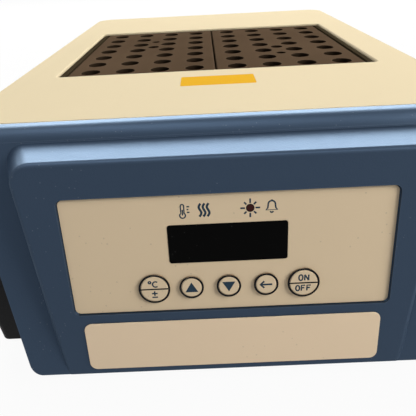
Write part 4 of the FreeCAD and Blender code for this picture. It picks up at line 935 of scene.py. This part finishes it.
def film(name, points, across, down, out, material, body):
    """A filled sign laid on the console face."""
    mesh = thin_sheet(name, [(u * MM, v * MM, 0) for u, v in points], FILM)
    place_print(mesh, name, across, down, out, material, body)


print("film:", FILM, "mm thick")

# %% [markdown]
# Each key has a black ring printed round its edge, and the two large keys have a bar across. The
# ring could be a groove cut in the key, but on the real one it's flat ink, so a broad flattened
# stroke stands just at the rim.

# %% Print the rings and the bars on the keys
RING_OVER, RING_WIDTH, RING_SUNK, RING_FLAT, RING_STEPS = 0.12, 0.7, 0.1, 0.4, 64
BAR_WIDTH, LARGE_KEY = 0.55, 5

for name, across in KEY_PLACES.items():
    radius = KEY_RADIUS[name]
    pen(name + "_ring", [(arc(0, 0, radius + RING_OVER, steps=RING_STEPS), True)], RING_WIDTH,
        across, KEY_LINE, KEY_SURFACE - RING_SUNK, RING_INK, name, flat=RING_FLAT)
    if radius > LARGE_KEY:
        pen(name + "_bar", [([(-radius, 0), (radius, 0)], False)], BAR_WIDTH, across, KEY_LINE,
            KEY_SURFACE, RING_INK, name)
print("rings printed:", len(KEY_PLACES))

# %% [markdown]
# The small keys carry an up, a down and a left arrow, and the large left one a degree mark with a
# C over a plus and a minus. A text object could give some of them, but a few points each are
# enough, and no font is needed.

# %% Print the signs on the keys
SIGN_WIDTH, ARROW_WIDTH = 0.55, 0.7
TRIANGLE = [(-2.3, -1.75), (2.3, -1.75), (0, 2.1)]
film("up_sign", TRIANGLE, KEY_PLACES["up_key"], KEY_LINE, KEY_SURFACE, INK, "up_key")
film("down_sign", [(-u, -v) for u, v in TRIANGLE], KEY_PLACES["down_key"], KEY_LINE, KEY_SURFACE,
     INK, "down_key")
arrow = [([(2.1, 0), (-2.1, 0)], False), ([(-0.7, 1.3), (-2.1, 0), (-0.7, -1.3)], False)]
pen("shift_sign", arrow, ARROW_WIDTH, KEY_PLACES["shift_key"], KEY_LINE, KEY_SURFACE, INK,
    "shift_key")
degree_plus_minus = [
    (arc(-1.5, 2.75, 0.42, steps=16), True), (arc(0.55, 1.95, 1.05, 50, 260, 20), False),
    ([(-1.0, -1.7), (1.0, -1.7)], False), ([(0, -0.8), (0, -2.6)], False),
    ([(-1.0, -3.2), (1.0, -3.2)], False),
]
pen("set_sign", degree_plus_minus, SIGN_WIDTH, KEY_PLACES["set_key"], KEY_LINE, KEY_SURFACE, INK,
    "set_key")
print("the last sign has", len(degree_plus_minus), "lines")

# %% [markdown]
# The right key starts and stops the heater, so it says ON and OFF. A font could write that, but
# these few letters are straight strokes and one oval. So the same pen draws them, in a box whose
# width is a share of its height.

# %% Print ON and OFF on the right key
LETTER_WIDE, LETTER_GAP, BAR_UP, BAR_LONG = 0.62, 0.32, 0.55, 0.8
N_CORNERS = ((0, 0), (0, 1), (1, 0), (1, 1))


def letters(word, left, low, tall):
    """The letters O, N and F as pen lines."""
    wide, gap, lines = tall * LETTER_WIDE, tall * LETTER_GAP, []
    for i, letter in enumerate(word):
        x = left + i * (wide + gap)
        if letter == "O":
            ring = arc(x + wide / 2, low + tall / 2, wide / 2, steps=20, tall=tall / wide)
            lines.append((ring, True))
        elif letter == "N":
            for ends in zip(N_CORNERS, N_CORNERS[1:]):
                lines.append(([(x + wide * u, low + tall * v) for u, v in ends], False))
        else:
            bar_z = low + tall * BAR_UP
            lines.append(([(x, low), (x, low + tall), (x + wide, low + tall)], False))
            lines.append(([(x, bar_z), (x + wide * BAR_LONG, bar_z)], False))
    return lines


pen("start_sign", letters("ON", -1.75, 1.0, 2.2) + letters("OFF", -2.75, -3.1, 2.1), SIGN_WIDTH,
    KEY_PLACES["start_key"], KEY_LINE, KEY_SURFACE, INK, "start_key")
print("switch letters:", len("ON" + "OFF"))

# %% [markdown]
# The panel has two marks on the left for heat, one lamp with rays on the right and a bell beside
# it. The rays could be modelled, but they are print like the rest, so only the lamp's spot is
# a filled film in dark red, with a thin black rim over its edge.

# %% Print the signs on the panel
HEAT_PLACE, THERMOMETER_PLACE = (-8.0, 18.4), (-14.4, 18.6)
LAMP_PLACE, BELL_PLACE = (7.4, 18.4), (14.6, 18.3)
RAY_COUNT, RAY_START, RAY_SHORT, RAY_LONG = 8, 1.75, 2.9, 3.3
SPOT_RADIUS, SPOT_RIM = 1.25, 1.3
WAVE_SWING, WAVE_TURN, WAVE_LEAN, WAVE_STEP, WAVE_PITCH = 0.55, 0.62, 0.06, 0.46, 1.35
BROAD, LINE, FINE, HAIR = 0.8, 0.6, 0.48, 0.3

wave = [(WAVE_SWING * math.sin(t * WAVE_TURN) + WAVE_LEAN * (t - 5), WAVE_STEP * (t - 5))
        for t in range(11)]
waves = [([(u + shift, v) for u, v in wave], False) for shift in (-WAVE_PITCH, 0, WAVE_PITCH)]
pen("heat_sign", waves, BROAD, *HEAT_PLACE, PANEL_SURFACE, INK, "case")
thermometer = [
    (arc(-0.9, -1.45, 0.95, 125, 290, 20) + [(-0.35, 1.9)] + arc(-0.9, 1.9, 0.55, 0, 180, 8)
     + [(-1.45, -0.67)], True),
    ([(-0.9, -1.4), (-0.9, 0.6)], False),
    ([(0.6, 1.6), (1.5, 1.6)], False), ([(0.6, 0.6), (1.2, 0.6)], False),
    ([(0.6, -0.4), (1.5, -0.4)], False),
]
pen("thermometer_sign", thermometer, FINE, *THERMOMETER_PLACE, PANEL_SURFACE, INK, "case")
rays = []
for i in range(RAY_COUNT):
    turned = math.radians(360 / RAY_COUNT * i)
    ends = (RAY_START, RAY_SHORT if i % 2 else RAY_LONG)
    rays.append(([(r * math.cos(turned), r * math.sin(turned)) for r in ends], False))
pen("lamp_rays", rays, LINE, *LAMP_PLACE, PANEL_SURFACE, INK, "case")
film("lamp_spot", arc(0, 0, SPOT_RADIUS, steps=32), *LAMP_PLACE, PANEL_SURFACE, LAMP, "case")
pen("lamp_rim", [(arc(0, 0, SPOT_RIM, steps=32), True)], HAIR, *LAMP_PLACE, PANEL_SURFACE,
    RING_INK, "case")
bell = [
    ([(-1.9, -1.1), (1.9, -1.1), (1.35, -0.4), (1.2, 0.9)] + arc(0, 0.9, 1.2, 0, 180, 12)
     + [(-1.35, -0.4)], True),
    (arc(0, -1.5, 0.5, 190, 160, 8), False), ([(0, 2.1), (0, 2.5)], False),
]
pen("bell_sign", bell, SIGN_WIDTH, *BELL_PLACE, PANEL_SURFACE, INK, "case")
print("lamp rays:", len(rays))

# %% [markdown]
# The rear fittings carry small marks too: a line and a ring on the two halves of the rocker, and a
# cross in each screw head. The crosses could be cut, but at this size a dark line does the same.
# The surfaces under the marks aren't flat, so each mark is dropped on its part point by point, as
# a stamp pad presses ink on whatever is under it.

# %% Stamp the rocker and the screw heads
STAMP_FROM, STAMP_PROUD = 0.3, 0.02
ON_HALF, OFF_RADIUS, CROSS_HALF = 1.5, 1.4, 1.2
ON_WIDTH, OFF_WIDTH, CROSS_WIDTH = 0.6, 0.5, 0.45


def stamp(name, lines, width, node, x, z, material, body):
    """Drop pen lines on the rear side of a part, at a place seen from behind."""
    data = nodes[node].data
    skin = BVHTree.FromPolygons([v.co for v in data.vertices], [f.vertices for f in data.polygons])
    mesh = strokes(name, lines, width)
    for vertex in mesh.vertices:
        across, up, proud = vertex.co
        spot = skin.ray_cast(Vector((x - across, STAMP_FROM, z + up)), Vector((0, -1, 0)))[0]
        vertex.co = (spot.x, spot.y + proud + STAMP_PROUD * MM, spot.z)
    piece = new_piece(name, mesh, material)
    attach(piece, body)


low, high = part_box("power_rocker")
rocker_middle, quarter = (low + high) / 2, (high.z - low.z) / 4
stamp("on_mark", [([(0, -ON_HALF), (0, 0), (0, ON_HALF)], False)], ON_WIDTH, "power_rocker",
      rocker_middle.x, rocker_middle.z + quarter, CHALK, "rocker")
stamp("off_mark", [(arc(0, 0, OFF_RADIUS, steps=24), True)], OFF_WIDTH, "power_rocker",
      rocker_middle.x, rocker_middle.z - quarter, CHALK, "rocker")
low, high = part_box("inlet_screws")
head = (high.z - low.z) / 2
CROSS = [([(-CROSS_HALF, 0), (CROSS_HALF, 0)], False), ([(0, -CROSS_HALF), (0, CROSS_HALF)], False)]
for name, x in (("cross_left", high.x - head), ("cross_right", low.x + head)):
    stamp(name, CROSS, CROSS_WIDTH, "inlet_screws", x, (low.z + high.z) / 2, RING_INK, "case")
print("rocker half:", round(quarter * 2 / MM, 1), "mm, screw head:", round(head * 2 / MM, 1), "mm")

# %% [markdown]
# A plain amber patch lies on the deck in front of the blocks. It could be painted in the deck's
# own material, but a sheet of its own keeps a crisp edge. It is a film, too thin to feel, and is
# sunk in the deck so that only its top stands out.

# %% Lay the amber patch on the deck
DECK_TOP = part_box("top_panel")[1][2]
PATCH_HALF, PATCH_FRONT, PATCH_REAR, PATCH_CORNER = 16.9, -73.5, -58.7, 0.8
PATCH_SUNK, PATCH_THICK = 0.05, 0.07

patch_outline = []
for x, y, start in ((PATCH_HALF, PATCH_REAR, 0), (-PATCH_HALF, PATCH_REAR, 90),
                    (-PATCH_HALF, PATCH_FRONT, 180), (PATCH_HALF, PATCH_FRONT, 270)):
    inward = (x - math.copysign(PATCH_CORNER, x),
              y - PATCH_CORNER if y == PATCH_REAR else y + PATCH_CORNER)
    patch_outline += arc(*inward, PATCH_CORNER, start, 90, 5)
patch_corners = [(x * MM, y * MM, DECK_TOP - PATCH_SUNK * MM) for x, y in patch_outline]
patch = new_piece("amber_patch", thin_sheet("amber_patch", patch_corners, PATCH_THICK), AMBER)
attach(patch, "case")
print("patch corners:", len(patch_outline))
